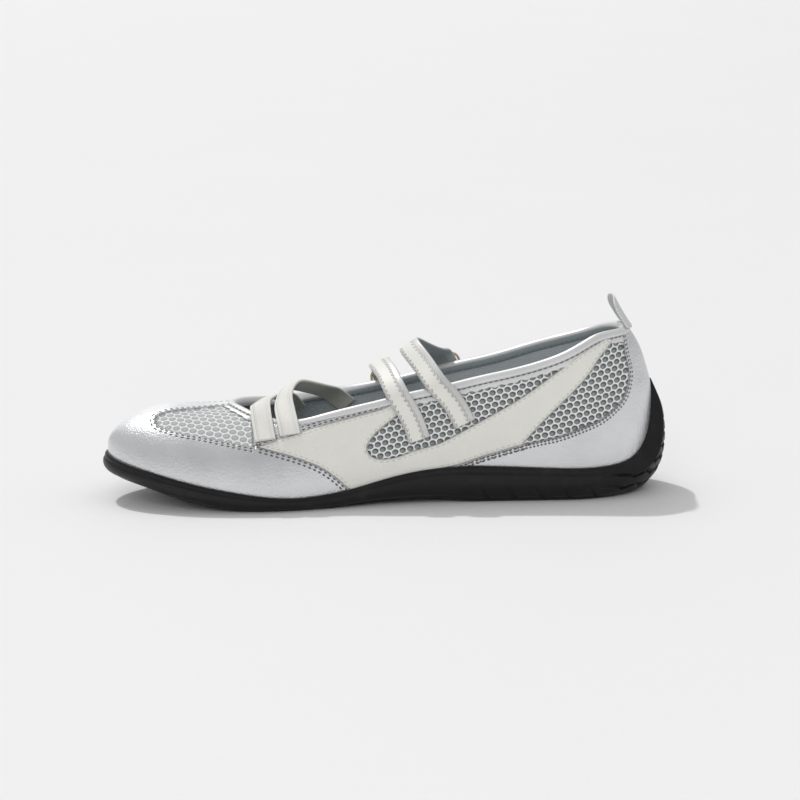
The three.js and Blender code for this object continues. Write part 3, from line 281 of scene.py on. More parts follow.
class Collar:
    """The collar line as a closed loop, from the medial heel over the throat to the lateral heel."""

    def __init__(self, count):
        self.count = count
        half = THROAT_TURN * (1 - (1 - np.arange(count + 1) / count) ** 1.7)
        back = half[-2:0:-1]
        self.turn = np.concatenate([half, back])
        key = collar_key(station_of(self.turn))
        self.girth = np.where(
            np.arange(len(self.turn)) <= count, collar_girth["medial"](key), 1 - collar_girth["lateral"](key)
        )
        place = skin(self.turn, self.girth)
        tangent = unit(np.roll(place, -1, 0) - np.roll(place, 1, 0))
        self.down = unit(np.cross(normal(self.turn, self.girth), tangent))
        legs = np.linalg.norm(np.roll(place, -1, 0) - place, axis=-1)
        self.run = np.concatenate([[0], np.cumsum(legs)[:-1]])
        self.length = float(legs.sum())

    def rail(self, distance):
        """The line that runs a distance below the collar line."""
        turn, girth = walk(self.turn, self.girth, self.down, distance)
        turn[0] = 0
        girth[self.count] = 0.5
        return turn, girth


# Meshes from grids


def weld(points, faces, attributes):
    """Joins points that lie in one place (to 1 micron) and drops faces that have shrunk to nothing."""
    keys = np.round(points * 1000).astype(np.int64)
    _, first, back = np.unique(keys, axis=0, return_index=True, return_inverse=True)
    back = back.reshape(-1)
    faces = back[faces]
    same = np.stack([faces[:, i] == faces[:, (i + 1) % 4] for i in range(4)], 1)
    count = same.sum(1)
    triangles = []
    for i in range(4):
        one = (count == 1) & same[:, i]
        triangles.append(faces[one][:, [j for j in range(4) if j != i]])
    kept = {name: values[first] for name, values in (attributes or {}).items()}
    return points[first], faces[count == 0], np.concatenate(triangles), kept


def build(name, points, faces, attributes, material, replaces=()):
    """Mesh piece from points in mm and quads: welded, smooth, outward, riding on the one body."""
    points, quads, triangles, kept = weld(points, faces, attributes)
    corner = points[quads[:, 0]]
    volume = np.sum(np.cross(points[quads[:, 1]], points[quads[:, 2]]) * corner)
    volume += np.sum(np.cross(points[quads[:, 2]], points[quads[:, 3]]) * corner)
    if len(triangles):
        volume += np.sum(np.cross(points[triangles[:, 1]], points[triangles[:, 2]]) * points[triangles[:, 0]])
    if volume < 0:
        quads = quads[:, ::-1]
        triangles = triangles[:, ::-1]
    mesh = bpy.data.meshes.new(name)
    loops = np.concatenate([quads.reshape(-1), triangles.reshape(-1)]).astype(np.int32)
    mesh.vertices.add(len(points))
    mesh.vertices.foreach_set("co", (points * MM).astype(np.float32).reshape(-1))
    mesh.loops.add(len(loops))
    mesh.loops.foreach_set("vertex_index", loops)
    starts = np.concatenate([np.arange(len(quads)) * 4, len(quads) * 4 + np.arange(len(triangles)) * 3])
    mesh.polygons.add(len(starts))
    mesh.polygons.foreach_set("loop_start", starts.astype(np.int32))
    mesh.update(calc_edges=True)
    mesh.validate()
    mesh.polygons.foreach_set("use_smooth", np.ones(len(mesh.polygons), bool))
    for key, values in kept.items():
        values = np.asarray(values, np.float32)
        if values.ndim == 2:
            layer = mesh.attributes.new(key, "FLOAT_VECTOR", "POINT")
            layer.data.foreach_set("vector", values.reshape(-1))
        else:
            layer = mesh.attributes.new(key, "FLOAT", "POINT")
            layer.data.foreach_set("value", values)
    mesh.update()
    piece = bpy.data.objects.new(name, mesh)
    bpy.context.scene.collection.objects.link(piece)
    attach(piece, "root")
    if replaces:
        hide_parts(*replaces)
    mesh.materials.append(material)
    return piece


def grid_faces(rows, columns, start=0, around=False, loop=False):
    """Quads of a rows x columns grid; around closes each row, loop joins the last row to the first."""
    i = np.arange(rows if loop else rows - 1)
    j = np.arange(columns if around else columns - 1)
    i, j = np.meshgrid(i, j, indexing="ij")
    i2 = (i + 1) % rows
    j2 = (j + 1) % columns
    quads = np.stack([i * columns + j, i2 * columns + j, i2 * columns + j2, i * columns + j2], -1)
    return quads.reshape(-1, 4) + start


# Seams: x (or x, y) as shares of the length and the collar height (or ball width); 1 marks a corner.
OVERLAY_SEAM = (
    (0.561, -0.13, 1), (0.562, 0.106, 1), (0.590, 0.192, 0), (0.618, 0.257, 0), (0.654, 0.308, 0),
    (0.690, 0.345, 0), (0.730, 0.379, 1), (0.690, 0.418, 0), (0.649, 0.453, 0), (0.597, 0.500, 0),
    (0.533, 0.549, 0), (0.492, 0.587, 0), (0.474, 0.640, 1), (0.470, 0.545, 1), (0.496, 0.483, 0),
    (0.515, 0.433, 0), (0.529, 0.370, 0), (0.528, 0.322, 0), (0.516, 0.291, 0), (0.498, 0.281, 0),
    (0.474, 0.291, 0), (0.447, 0.320, 0), (0.411, 0.350, 0), (0.386, 0.379, 0), (0.325, 0.482, 0),
    (0.248, 0.620, 0), (0.174, 0.785, 0), (0.137, 0.871, 0), (0.085, 0.960, 1), (0.070, 0.945, 1),
    (0.100, 0.845, 0), (0.118, 0.764, 0), (0.151, 0.651, 0), (0.175, 0.579, 0), (0.211, 0.464, 0),
    (0.245, 0.345, 1), (0.285, 0.310, 0), (0.322, 0.275, 0), (0.350, 0.243, 0), (0.373, 0.221, 0),
    (0.395, 0.209, 1), (0.410, -0.13, 1),
)
TOE_SEAM = (
    (1.08, -0.13, 1), (1.08, 1.1, 1), (0.7355, 1.1, 1), (0.7355, 0.384, 1),
    (0.700, 0.380, 1), (0.630, 0.350, 1), (0.552, 0.150, 1), (0.552, -0.13, 1),
)
FACING_SEAM = (
    (0.7395, 0.386, 1), (0.7395, 1.1, 1), (0.480, 1.1, 1), (0.480, 0.57, 1),
    (0.560, 0.500, 1), (0.640, 0.420, 1), (0.700, 0.386, 1),
)
COUNTER_SEAM = (
    (0.400, -0.13, 1), (0.385, 0.300, 1), (0.245, 0.345, 1), (0.212, 0.368, 0), (0.175, 0.393, 0),
    (0.137, 0.436, 0), (0.099, 0.483, 0), (0.070, 0.547, 0), (0.052, 0.609, 0), (0.042, 0.701, 0),
    (0.041, 0.770, 0), (0.048, 0.876, 0), (0.055, 1.100, 1), (-0.080, 1.100, 1), (-0.080, -0.13, 1),
)
VAMP_WINDOW = (
    (0.906, -0.140, 0), (0.913, -0.185, 0), (0.905, -0.240, 0), (0.870, -0.298, 0), (0.834, -0.327, 0),
    (0.798, -0.357, 0), (0.763, -0.381, 0), (0.7355, -0.394, 1), (0.7355, -0.062, 1), (0.800, -0.062, 1),
    (0.830, -0.080, 0), (0.870, -0.108, 0),
)
LATERAL_SCALE = 1.06


def outline(table, second_size, parts=8):
    """Closed outline: cubic Hermite arcs through the rows, straight between two corners."""
    rows = np.array(table, float)
    places = np.stack([HEEL_BACK - rows[:, 0] * LENGTH, rows[:, 1] * second_size], 1)
    corner = rows[:, 2] > 0.5
    a, b = places, np.roll(places, -1, 0)
    before = np.where(corner[:, None], a, np.roll(places, 1, 0))
    after = np.where(np.roll(corner, -1)[:, None], b, np.roll(places, -2, 0))
    ta = (b - before) * np.where(corner, 1.0, 0.5)[:, None]
    tb = (after - a) * np.where(np.roll(corner, -1), 1.0, 0.5)[:, None]
    u = (np.arange(parts) / parts)[None, :, None]
    a, b, ta, tb = (v[:, None, :] for v in (a, b, ta, tb))
    points = (2 * u**3 - 3 * u**2 + 1) * a + (u**3 - 2 * u**2 + u) * ta
    points = points + (3 * u**2 - 2 * u**3) * b + (u**3 - u**2) * tb
    return points.reshape(-1, 2)


def seam_field(places, pull, points, lift=None):
    """Signed distance along the skin from each place to a closed seam, + inside, and the run there.

    The flat distance is divided by how much the skin leans along it: pull is the flat part of the
    skin's normal. lift gives the third coordinate of the seam's points, for the length of its run.
    """
    a = points
    ab = np.roll(points, -1, 0) - a
    square = np.maximum((ab**2).sum(-1), 1e-9)
    legs = np.sqrt(square) if lift is None else np.sqrt(square + (np.roll(lift, -1) - lift) ** 2)
    start = np.concatenate([[0], np.cumsum(legs)[:-1]])
    distance = np.empty(len(places))
    run = np.empty(len(places))
    for low in range(0, len(places), 6000):
        p = places[low: low + 6000]
        to = p[:, None] - a[None]
        t = np.clip((to * ab).sum(-1) / square, 0, 1)
        away = to - t[..., None] * ab
        length = (away**2).sum(-1)
        best = length.argmin(1)
        pick = np.arange(len(p))
        gap = np.sqrt(length[pick, best])
        side = (a[None, :, 1] > p[:, None, 1]) != (np.roll(a, -1, 0)[None, :, 1] > p[:, None, 1])
        slope = np.where(np.abs(ab[:, 1]) < 1e-9, 1e-9, ab[:, 1])
        cut = a[None, :, 0] + (p[:, None, 1] - a[None, :, 1]) / slope * ab[None, :, 0]
        inside = ((side & (p[:, None, 0] < cut)).sum(1) % 2) > 0
        lean = (away[pick, best] / np.maximum(gap, 1e-6)[:, None] * pull[low: low + 6000]).sum(-1)
        gap = gap / np.sqrt(np.maximum(1 - lean**2, 0.06))
        distance[low: low + 6000] = np.where(inside, gap, -gap)
        run[low: low + 6000] = start[best] + t[pick, best] * legs[best]
    return distance, run


def wall_y(points):
    """Half breadth of the skin at side-view points: the section's formula turned round."""
    station = np.clip((HEEL_BACK - points[:, 0]) / LENGTH, 0, 1)
    over = np.clip((points[:, 1] - edge_height(station)) / crown_height(station), 0, 1)
    girth = np.arcsin(over ** (last["square"](station) / 2)) / np.pi
    return skin(turn_of(station), girth)[:, 1]


def roof_z(points):
    """Height of the skin at plan-view points."""
    station = np.clip((HEEL_BACK - points[:, 0]) / LENGTH, 0, 1)
    ends = circle_in(station / HEEL_ROUND) * circle_in((1 - station) / TOE_ROUND)
    off = points[:, 1] - last["ridge"](station) * BALL_WIDTH
    half = np.where(off < 0, last["medial"](station), last["lateral"](station)) * BALL_WIDTH * ends
    share = np.clip(np.abs(off) / half, 0, 1) ** (last["square"](station) / 2)
    rise = np.sqrt(np.maximum(0, 1 - share**2)) ** (2 / last["square"](station))
    return edge_height(station) + crown_height(station) * rise


# Shader helpers


class Nodes:
    """Short calls for building a node tree."""

    def __init__(self, tree):
        self.tree = tree

    def make(self, kind, **values):
        """New node with some of its settings."""
        node = self.tree.nodes.new(kind)
        for key, value in values.items():
            setattr(node, key, value)
        return node

    def plug(self, socket, value):
        """Link a socket or set it to a number; None leaves it as it is."""
        if isinstance(value, bpy.types.NodeSocket):
            self.tree.links.new(value, socket)
        elif value is not None:
            socket.default_value = value

    def math(self, operation, a, b=None):
        """Sum, product or another operation on one or two values."""
        node = self.make("ShaderNodeMath", operation=operation)
        self.plug(node.inputs[0], a)
        self.plug(node.inputs[1], b)
        return node.outputs[0]

    def vector(self, operation, a, b=None, scale=None):
        """The same on vectors; a length comes out as one value."""
        node = self.make("ShaderNodeVectorMath", operation=operation)
        self.plug(node.inputs[0], a)
        self.plug(node.inputs[1], b)
        if scale is not None:
            self.plug(node.inputs["Scale"], scale)
        return node.outputs["Value"] if operation == "LENGTH" else node.outputs[0]

    def times(self, a, b):
        """Product of two values."""
        return self.math("MULTIPLY", a, b)

    def plus(self, a, b):
        """Sum of two values."""
        return self.math("ADD", a, b)

    def minus(self, a, b):
        """First value less the second."""
        return self.math("SUBTRACT", a, b)

    def larger(self, a, b):
        """Larger of two values."""
        return self.math("MAXIMUM", a, b)

    def absolute(self, a):
        """Value without its sign."""
        return self.math("ABSOLUTE", a)

    def ramp(self, value, low, high, out_low=0.0, out_high=1.0):
        """Smooth step from one range to another."""
        node = self.make("ShaderNodeMapRange", clamp=True, interpolation_type="SMOOTHSTEP")
        for key, item in (("Value", value), ("From Min", low), ("From Max", high),
                          ("To Min", out_low), ("To Max", out_high)):
            self.plug(node.inputs[key], item)
        return node.outputs["Result"]

    def mix(self, share, a, b):
        """Mix of two colours."""
        node = self.make("ShaderNodeMix", data_type="RGBA")
        self.plug(node.inputs[0], share)
        self.plug(node.inputs[6], a)
        self.plug(node.inputs[7], b)
        return node.outputs[2]

    def blend(self, share, a, b):
        """Mix of two values."""
        node = self.make("ShaderNodeMix", data_type="FLOAT")
        self.plug(node.inputs[0], share)
        self.plug(node.inputs[2], a)
        self.plug(node.inputs[3], b)
        return node.outputs[0]

    def field(self, name, output="Fac"):
        """Value kept in the mesh at each vertex."""
        node = self.make("ShaderNodeAttribute", attribute_name=name, attribute_type="GEOMETRY")
        return node.outputs[output]

    def noise(self, scale, detail, vector):
        """Cloud noise; scale counts its waves in a metre."""
        node = self.make("ShaderNodeTexNoise")
        self.plug(node.inputs["Vector"], vector)
        node.inputs["Scale"].default_value = scale
        node.inputs["Detail"].default_value = detail
        return node.outputs["Fac"]

    def cells(self, scale, vector):
        """Distance to the nearest of scattered cell centres."""
        node = self.make("ShaderNodeTexVoronoi", feature="F1")
        self.plug(node.inputs["Vector"], vector)
        node.inputs["Scale"].default_value = scale
        return node.outputs["Distance"]

    def group(self, tree, **values):
        """Node group with some of its inputs."""
        node = self.make("ShaderNodeGroup", node_tree=tree)
        for key, value in values.items():
            self.plug(node.inputs[key], value)
        return node


def srgb(r, g, b):
    """Colour of 0-255 display values as linear light."""
    c = np.array([r, g, b]) / 255
    c = np.where(c <= 0.04045, c / 12.92, ((c + 0.055) / 1.055) ** 2.4)
    return (float(c[0]), float(c[1]), float(c[2]), 1.0)


def new_group(name, inputs, outputs):
    """Empty node group with its inputs (label, kind, value) and outputs (label, kind)."""
    tree = bpy.data.node_groups.new(name, "ShaderNodeTree")
    for label, kind, value in inputs:
        socket = tree.interface.new_socket(label, in_out="INPUT", socket_type=kind)
        if value is not None:
            socket.default_value = value
    for label, kind in outputs:
        tree.interface.new_socket(label, in_out="OUTPUT", socket_type=kind)
    n = Nodes(tree)
    return tree, n, n.make("NodeGroupInput"), n.make("NodeGroupOutput")


FLOAT = "NodeSocketFloat"
VECTOR = "NodeSocketVector"


def stitch_row_group():
    """Row of needle holes: an ellipse at a set distance from the seam, repeated along its run."""
    tree, n, source, sink = new_group("stitch_row", (
        ("Distance", FLOAT, 0.0), ("Run", FLOAT, 0.0), ("Offset", FLOAT, 1.0),
        ("Pitch", FLOAT, 2.8), ("Long", FLOAT, 0.78), ("Wide", FLOAT, 0.4),
    ), (("Hole", FLOAT), ("Dent", FLOAT)))
    o = source.outputs
    phase = n.math("FRACT", n.math("DIVIDE", o["Run"], o["Pitch"]))
    along = n.times(n.minus(phase, 0.5), o["Pitch"])
    along = n.math("DIVIDE", along, o["Long"])
    across = n.math("DIVIDE", n.minus(o["Distance"], o["Offset"]), o["Wide"])
    radius = n.math("SQRT", n.plus(n.times(along, along), n.times(across, across)))
    n.plug(sink.inputs["Hole"], n.ramp(radius, 0.75, 1.25, 1.0, 0.0))
    n.plug(sink.inputs["Dent"], n.ramp(n.absolute(across), 0.0, 2.2, 1.0, 0.0))
    return tree


def leather_grain_group():
    """Leather grain: crazed cells over two noises, and a slow mottle for the finish."""
    tree, n, source, sink = new_group("leather_grain", (
        ("Vector", VECTOR, None), ("Fine", FLOAT, 1.0),
    ), (("Height", FLOAT), ("Mottle", FLOAT)))
    place = source.outputs["Vector"]
    cells = n.cells(1500.0, place)
    noise = n.noise(700.0, 4.0, place)
    height = n.plus(n.times(cells, 0.5), n.times(noise, 0.8))
    n.plug(sink.inputs["Height"], n.times(height, source.outputs["Fine"]))
    n.plug(sink.inputs["Mottle"], n.noise(38.0, 3.0, place))
    return tree


def net_group():
    """Hexagonal net: distance to the nearer of two offset lattices of hole centres, in mm."""
    tree, n, source, sink = new_group("spacer_net", (
        ("Place", VECTOR, None),
    ), (("Hole", FLOAT), ("Height", FLOAT), ("Shade", FLOAT)))
    pitch, rows = 3.45, 5.3
    size = (pitch, rows, 1.0)
    place = n.vector("DIVIDE", source.outputs["Place"], size)

    def nearest(shift, push):
        moved = n.vector("ADD", place, shift)
        cell = n.vector("SUBTRACT", n.vector("FRACTION", moved), (0.5, 0.5, 0.0))
        cell = n.vector("MULTIPLY", cell, (pitch * 0.97, rows * 1.16, 0.0))
        return n.vector("LENGTH", n.vector("ADD", cell, push))

    none = (0.0, 0.0, 0.0)
    a = n.math("MINIMUM", nearest((100.0, 100.0, 0.0), none), nearest((100.5, 100.5, 0.0), none))
    # The pushed second lattice gives Shade: each hole is painted darker towards its upper rim, as painted
    # shadow.
    push = (0.35, 0.45, 0.0)
    b = n.math("MINIMUM", nearest((100.0, 100.0, 0.0), push), nearest((100.5, 100.5, 0.0), push))
    n.plug(sink.inputs["Hole"], n.ramp(a, 1.3, 1.52, 1.0, 0.0))
    n.plug(sink.inputs["Height"], n.ramp(a, 0.9, 1.8, 0.0, 1.0))
    n.plug(sink.inputs["Shade"], n.ramp(b, 0.5, 1.5, 1.0, 0.0))
    return tree


def weave_group():
    """Plain weave: two crossed sine rows, one over the other in turn."""
    tree, n, source, sink = new_group("fine_weave", (
        ("Place", VECTOR, None), ("Pitch", FLOAT, 0.8),
    ), (("Height", FLOAT), ("Dark", FLOAT)))
    step = n.math("DIVIDE", 2 * math.pi, source.outputs["Pitch"])
    parts = n.make("ShaderNodeSeparateXYZ")
    n.plug(parts.inputs[0], source.outputs["Place"])
    u = n.math("SINE", n.times(parts.outputs[0], step))
    v = n.math("SINE", n.times(parts.outputs[1], step))
    product = n.times(u, v)
    n.plug(sink.inputs["Height"], n.plus(n.times(product, 0.5), 0.5))
    n.plug(sink.inputs["Dark"], n.ramp(product, -1.0, 0.3, 1.0, 0.0))
    return tree


STITCH_ROW = stitch_row_group()
GRAIN = leather_grain_group()
NET = net_group()
WEAVE = weave_group()

SILVER = srgb(233, 234, 236)
CREAM = srgb(235, 234, 228)
PIPING = srgb(229, 229, 229)
NET_LIGHT = srgb(240, 241, 241)
# Dark grey of the painted shadow under each net hole's upper rim.
NET_HOLE_SHADOW = srgb(90, 94, 95)
THREAD = srgb(178, 176, 168)
# Dark grey of painted shade: needle holes and the lines along raised panel edges.
SHADE_DARK = srgb(84, 86, 88)


def new_material(name):
    """Material with its node helper and its shader."""
    material = bpy.data.materials.new(name)
    material.use_nodes = True
    n = Nodes(material.node_tree)
    shader = material.node_tree.nodes["Principled BSDF"]
    return material, n, shader


def object_place(n):
    """Place on the object in metres."""
    return n.make("ShaderNodeTexCoord").outputs["Object"]


def bump(n, height, distance, strength=1.0, base=None):
    """Normal bent by a height; distance is in metres."""
    node = n.make("ShaderNodeBump")
    node.inputs["Strength"].default_value = strength
    node.inputs["Distance"].default_value = distance
    n.plug(node.inputs["Height"], height)
    if base is not None:
        n.plug(node.inputs["Normal"], base)
    return node.outputs["Normal"]


def upper_material():
    """The upper's skin: net, off-white panels over it and silver panels over both, with their seams."""
    material, n, shader = new_material("upper_skin")
    place = object_place(n)
    silver = n.field("silver")
    white = n.field("white")
    white_run = n.field("white_run")
    window = n.field("window")
    window_run = n.field("window_run")
    counter = n.field("counter")
    counter_run = n.field("counter_run")
    net_place = n.field("net", "Vector")
    pebble = n.field("pebble")

    is_silver = n.ramp(silver, -0.05, 0.05)
    is_white = n.ramp(white, -0.05, 0.05)
    panel = n.larger(silver, white)
    is_panel = n.larger(is_silver, is_white)
    grain = n.group(GRAIN, Vector=place)
    net = n.group(NET, Place=net_place)

    off_white = n.times(white, -1.0)
    off_window = n.times(window, -1.0)
    rows = []
    for distance, run, offset, pitch, long in (
        (off_white, white_run, 0.9, 2.6, 0.75), (off_white, white_run, 2.2, 2.6, 0.75),
        (off_window, window_run, 0.9, 2.6, 0.75), (off_window, window_run, 2.2, 2.6, 0.75),
        (counter, counter_run, 0.7, 1.75, 0.5), (counter, counter_run, 1.9, 1.75, 0.5),
    ):
        row = n.group(STITCH_ROW, Distance=distance, Run=run, Offset=offset, Pitch=pitch, Long=long)
        rows.append(row.outputs["Hole"])
    near_toe = n.larger(rows[0], rows[1])
    seam = n.larger(near_toe, n.larger(rows[2], rows[3]))
    seam = n.larger(seam, n.larger(rows[4], rows[5]))
    # Needle holes on the silver are painted dark: painted shade in the holes.
    holes = n.times(seam, is_silver)
    thread = n.group(STITCH_ROW, Distance=white, Run=white_run, Offset=1.25, Pitch=2.6, Long=0.85, Wide=0.26)
    threads = n.times(thread.outputs["Hole"], n.ramp(silver, -0.4, -1.2))
    threads = n.times(threads, n.times(is_white, 0.6))

    mottle = n.ramp(grain.outputs["Mottle"], 0.3, 0.7, 0.93, 1.04)
    silver_colour = n.vector("SCALE", SILVER[:3], scale=mottle)
    # Net holes: mid-grey of the lower layer, painted darker as shadow under the rim.
    net_shade = n.mix(net.outputs["Shade"], NET_HOLE_SHADOW, srgb(144, 147, 147))
    # Painted light: the net holes on the vamp are painted lighter, as if lit where light falls on the toe.
    vamp_lit_holes = n.minus(1.0, n.times(n.field("vamp"), 0.42))
    net_colour = n.mix(n.times(net.outputs["Hole"], vamp_lit_holes), NET_LIGHT, net_shade)
    cream_mottle = n.ramp(n.noise(120.0, 4.0, place), 0.3, 0.7, 0.985, 1.01)
    cream = n.vector("SCALE", CREAM[:3], scale=cream_mottle)
    colour = n.mix(is_white, net_colour, cream)
    colour = n.mix(is_silver, colour, silver_colour)
    colour = n.mix(n.times(threads, 0.75), colour, THREAD)
    colour = n.mix(n.times(holes, 0.95), colour, SHADE_DARK)
    # Painted shadow: a dark line on the net just outside each raised panel edge, and on the off-white along
    # the silver's edge.
    lip = n.times(n.ramp(panel, -0.75, -0.05), n.ramp(panel, 0.0, 0.12, 1.0, 0.0))
    join = n.times(n.ramp(n.absolute(silver), 0.04, 0.2, 1.0, 0.0), is_white)
    line = n.larger(n.times(lip, 0.55), n.times(join, 0.6))
    colour = n.mix(line, colour, SHADE_DARK)
    n.plug(shader.inputs["Base Color"], colour)

    metal = n.times(n.times(is_silver, n.minus(1.0, holes)), 0.9)
    n.plug(shader.inputs["Metallic"], metal)
    silver_rough = n.ramp(grain.outputs["Mottle"], 0.3, 0.7, 0.36, 0.44)
    rough = n.blend(is_white, 0.85, 0.5)
    rough = n.blend(is_silver, rough, silver_rough)
    n.plug(shader.inputs["Roughness"], rough)

    edge = n.ramp(panel, -0.1, 0.75)
    edge_step = n.times(n.ramp(silver, 0.0, 0.7), 0.35)
    net_height = n.times(n.times(net.outputs["Height"], n.minus(1.0, is_panel)), 0.5)
    dents = n.times(n.larger(holes, n.times(threads, 0.5)), -0.35)
    height = n.plus(n.plus(edge, edge_step), n.plus(net_height, dents))
    pebbles = n.times(n.cells(900.0, place), n.times(pebble, 0.35))
    height = n.plus(height, pebbles)
    first = bump(n, height, 0.0006, 1.0)
    second = bump(n, grain.outputs["Height"], 0.00024, 0.9, first)
    n.plug(shader.inputs["Normal"], second)
    shader.inputs["Specular IOR Level"].default_value = 0.45
    return material


def rubber_material():
    """Black rubber: a dull satin with fine pitting, a little paler in random rubbed patches."""
    material, n, shader = new_material("sole_rubber")
    place = object_place(n)
    mottle = n.noise(60.0, 4.0, place)
    fine = n.noise(1800.0, 3.0, place)
    dust = n.times(n.ramp(n.noise(160.0, 5.0, place), 0.5, 0.75), 0.5)
    colour = n.mix(n.ramp(mottle, 0.3, 0.7), srgb(13, 12, 13), srgb(20, 18, 20))
    colour = n.mix(n.times(dust, 0.4), colour, srgb(58, 56, 56))
    n.plug(shader.inputs["Base Color"], colour)
    n.plug(shader.inputs["Roughness"], n.ramp(mottle, 0.3, 0.7, 0.36, 0.48))
    n.plug(shader.inputs["Normal"], bump(n, fine, 0.00008, 0.5))
    shader.inputs["Specular IOR Level"].default_value = 0.36
    return material


def binding_material():
    """Rolled silver-white leather: stitch line under the roll, wavy cut edge, grey cloth inside."""
    material, n, shader = new_material("collar_binding")
    place = object_place(n)
    below = n.field("below")
    run = n.field("run")
    inside = n.field("inside")
    grain = n.group(GRAIN, Vector=place)
    row = n.group(
        STITCH_ROW, Distance=below, Run=run, Offset=BINDING_LEG + 0.15, Pitch=2.5, Long=0.85, Wide=0.32
    )
    hole = n.times(row.outputs["Hole"], n.minus(1.0, inside))
    # Painted shade: a dark line along the groove where the roll meets the leg.
    from_leg = n.absolute(n.minus(below, BINDING_LEG + 0.1))
    groove = n.times(n.ramp(from_leg, 0.1, 0.5, 1.0, 0.0), n.minus(1.0, inside))
    inner_row = n.group(STITCH_ROW, Distance=below, Run=run, Offset=3.4, Pitch=2.7, Long=0.9, Wide=0.3)
    inner_hole = n.times(inner_row.outputs["Hole"], inside)
    colour = n.mix(n.ramp(grain.outputs["Mottle"], 0.3, 0.7), srgb(219, 219, 220), PIPING)
    lining = n.mix(n.noise(900.0, 2.0, place), srgb(142, 151, 155), srgb(164, 171, 173))
    colour = n.mix(inside, colour, lining)
    colour = n.mix(n.times(groove, 0.55), colour, srgb(120, 122, 126))
    # Needle holes painted dark: painted shade in the holes.
    holes = n.larger(hole, n.times(inner_hole, 0.5))
    colour = n.mix(n.times(holes, 0.72), colour, SHADE_DARK)
    n.plug(shader.inputs["Base Color"], colour)
    n.plug(shader.inputs["Metallic"], n.times(n.minus(1.0, inside), 0.3))
    n.plug(shader.inputs["Roughness"], n.blend(inside, 0.38, 0.8))
    pucker = n.times(n.math("SINE", n.times(run, 2 * math.pi / ROLL_PITCH)), n.ramp(below, 1.0, 3.6))
    height = n.minus(n.times(pucker, 0.12), n.times(hole, 0.5))
    first = bump(n, height, 0.0006, 0.8)
    n.plug(shader.inputs["Normal"], bump(n, grain.outputs["Height"], 0.00006, 0.6, first))
    return material


def cloth_material(name, plan, pitch, noise, tones, dark, rough, relief):
    """Plain woven cloth in two tones: on the mesh's own grid, or in plan; dark is (share, colour)."""
    material, n, shader = new_material(name)
    place = object_place(n)
    where = n.vector("SCALE", place, scale=1000.0) if plan else n.field("net", "Vector")
    weave = n.group(WEAVE, Place=where, Pitch=pitch)
    tone = n.noise(*noise, place)
    colour = n.mix(n.ramp(tone, 0.3, 0.7), srgb(*tones[0]), srgb(*tones[1]))
    colour = n.mix(n.times(weave.outputs["Dark"], dark[0]), colour, srgb(*dark[1]))
    n.plug(shader.inputs["Base Color"], colour)
    shader.inputs["Roughness"].default_value = rough
    n.plug(shader.inputs["Normal"], bump(n, weave.outputs["Height"], *relief))
    return material


def strap_material():
    """Instep strap: silver-white band with a narrower off-white strip sewn on it, cut with a wavy edge."""
    material, n, shader = new_material("instep_strap")
    place = object_place(n)
    across = n.field("across")
    run = n.field("run")
    under = n.field("under")
    grain = n.group(GRAIN, Vector=place)
    wave = n.times(n.math("SINE", n.times(run, 2 * math.pi / 2.5)), 0.24)
    wobble = n.times(n.minus(n.noise(520.0, 3.0, place), 0.5), 1.1)
    edge = n.minus(3.35, n.absolute(n.plus(across, 1.05)))
    edge = n.plus(edge, n.plus(wave, wobble))
    strip = n.ramp(edge, -0.08, 0.08)
    row = n.group(STITCH_ROW, Distance=edge, Run=run, Offset=0.75, Pitch=2.5, Long=0.75, Wide=0.3)
    hole = row.outputs["Hole"]
    border = n.mix(n.ramp(grain.outputs["Mottle"], 0.3, 0.7), srgb(206, 206, 205), srgb(220, 220, 219))
    colour = n.mix(strip, border, CREAM)
    line = n.ramp(n.absolute(edge), 0.08, 0.42, 1.0, 0.0)
    colour = n.mix(n.times(line, 0.5), colour, srgb(128, 128, 126))
    colour = n.mix(n.times(hole, 0.6), colour, srgb(138, 136, 130))
    # Painted shade: the strap's underside is painted grey as shadow.
    back = n.mix(n.noise(600.0, 2.0, place), srgb(150, 158, 160), srgb(172, 178, 178))
    colour = n.mix(under, colour, back)
    n.plug(shader.inputs["Base Color"], colour)
    bare = n.minus(1.0, n.larger(strip, under))
    n.plug(shader.inputs["Metallic"], n.times(bare, 0.2))
    n.plug(shader.inputs["Roughness"], n.blend(strip, 0.45, 0.5))
    height = n.minus(n.times(n.ramp(edge, -0.1, 0.9), 0.6), n.times(hole, 0.4))
    first = bump(n, height, 0.0006, 0.9)
    n.plug(shader.inputs["Normal"], bump(n, grain.outputs["Height"], 0.00006, 0.6, first))
    return material


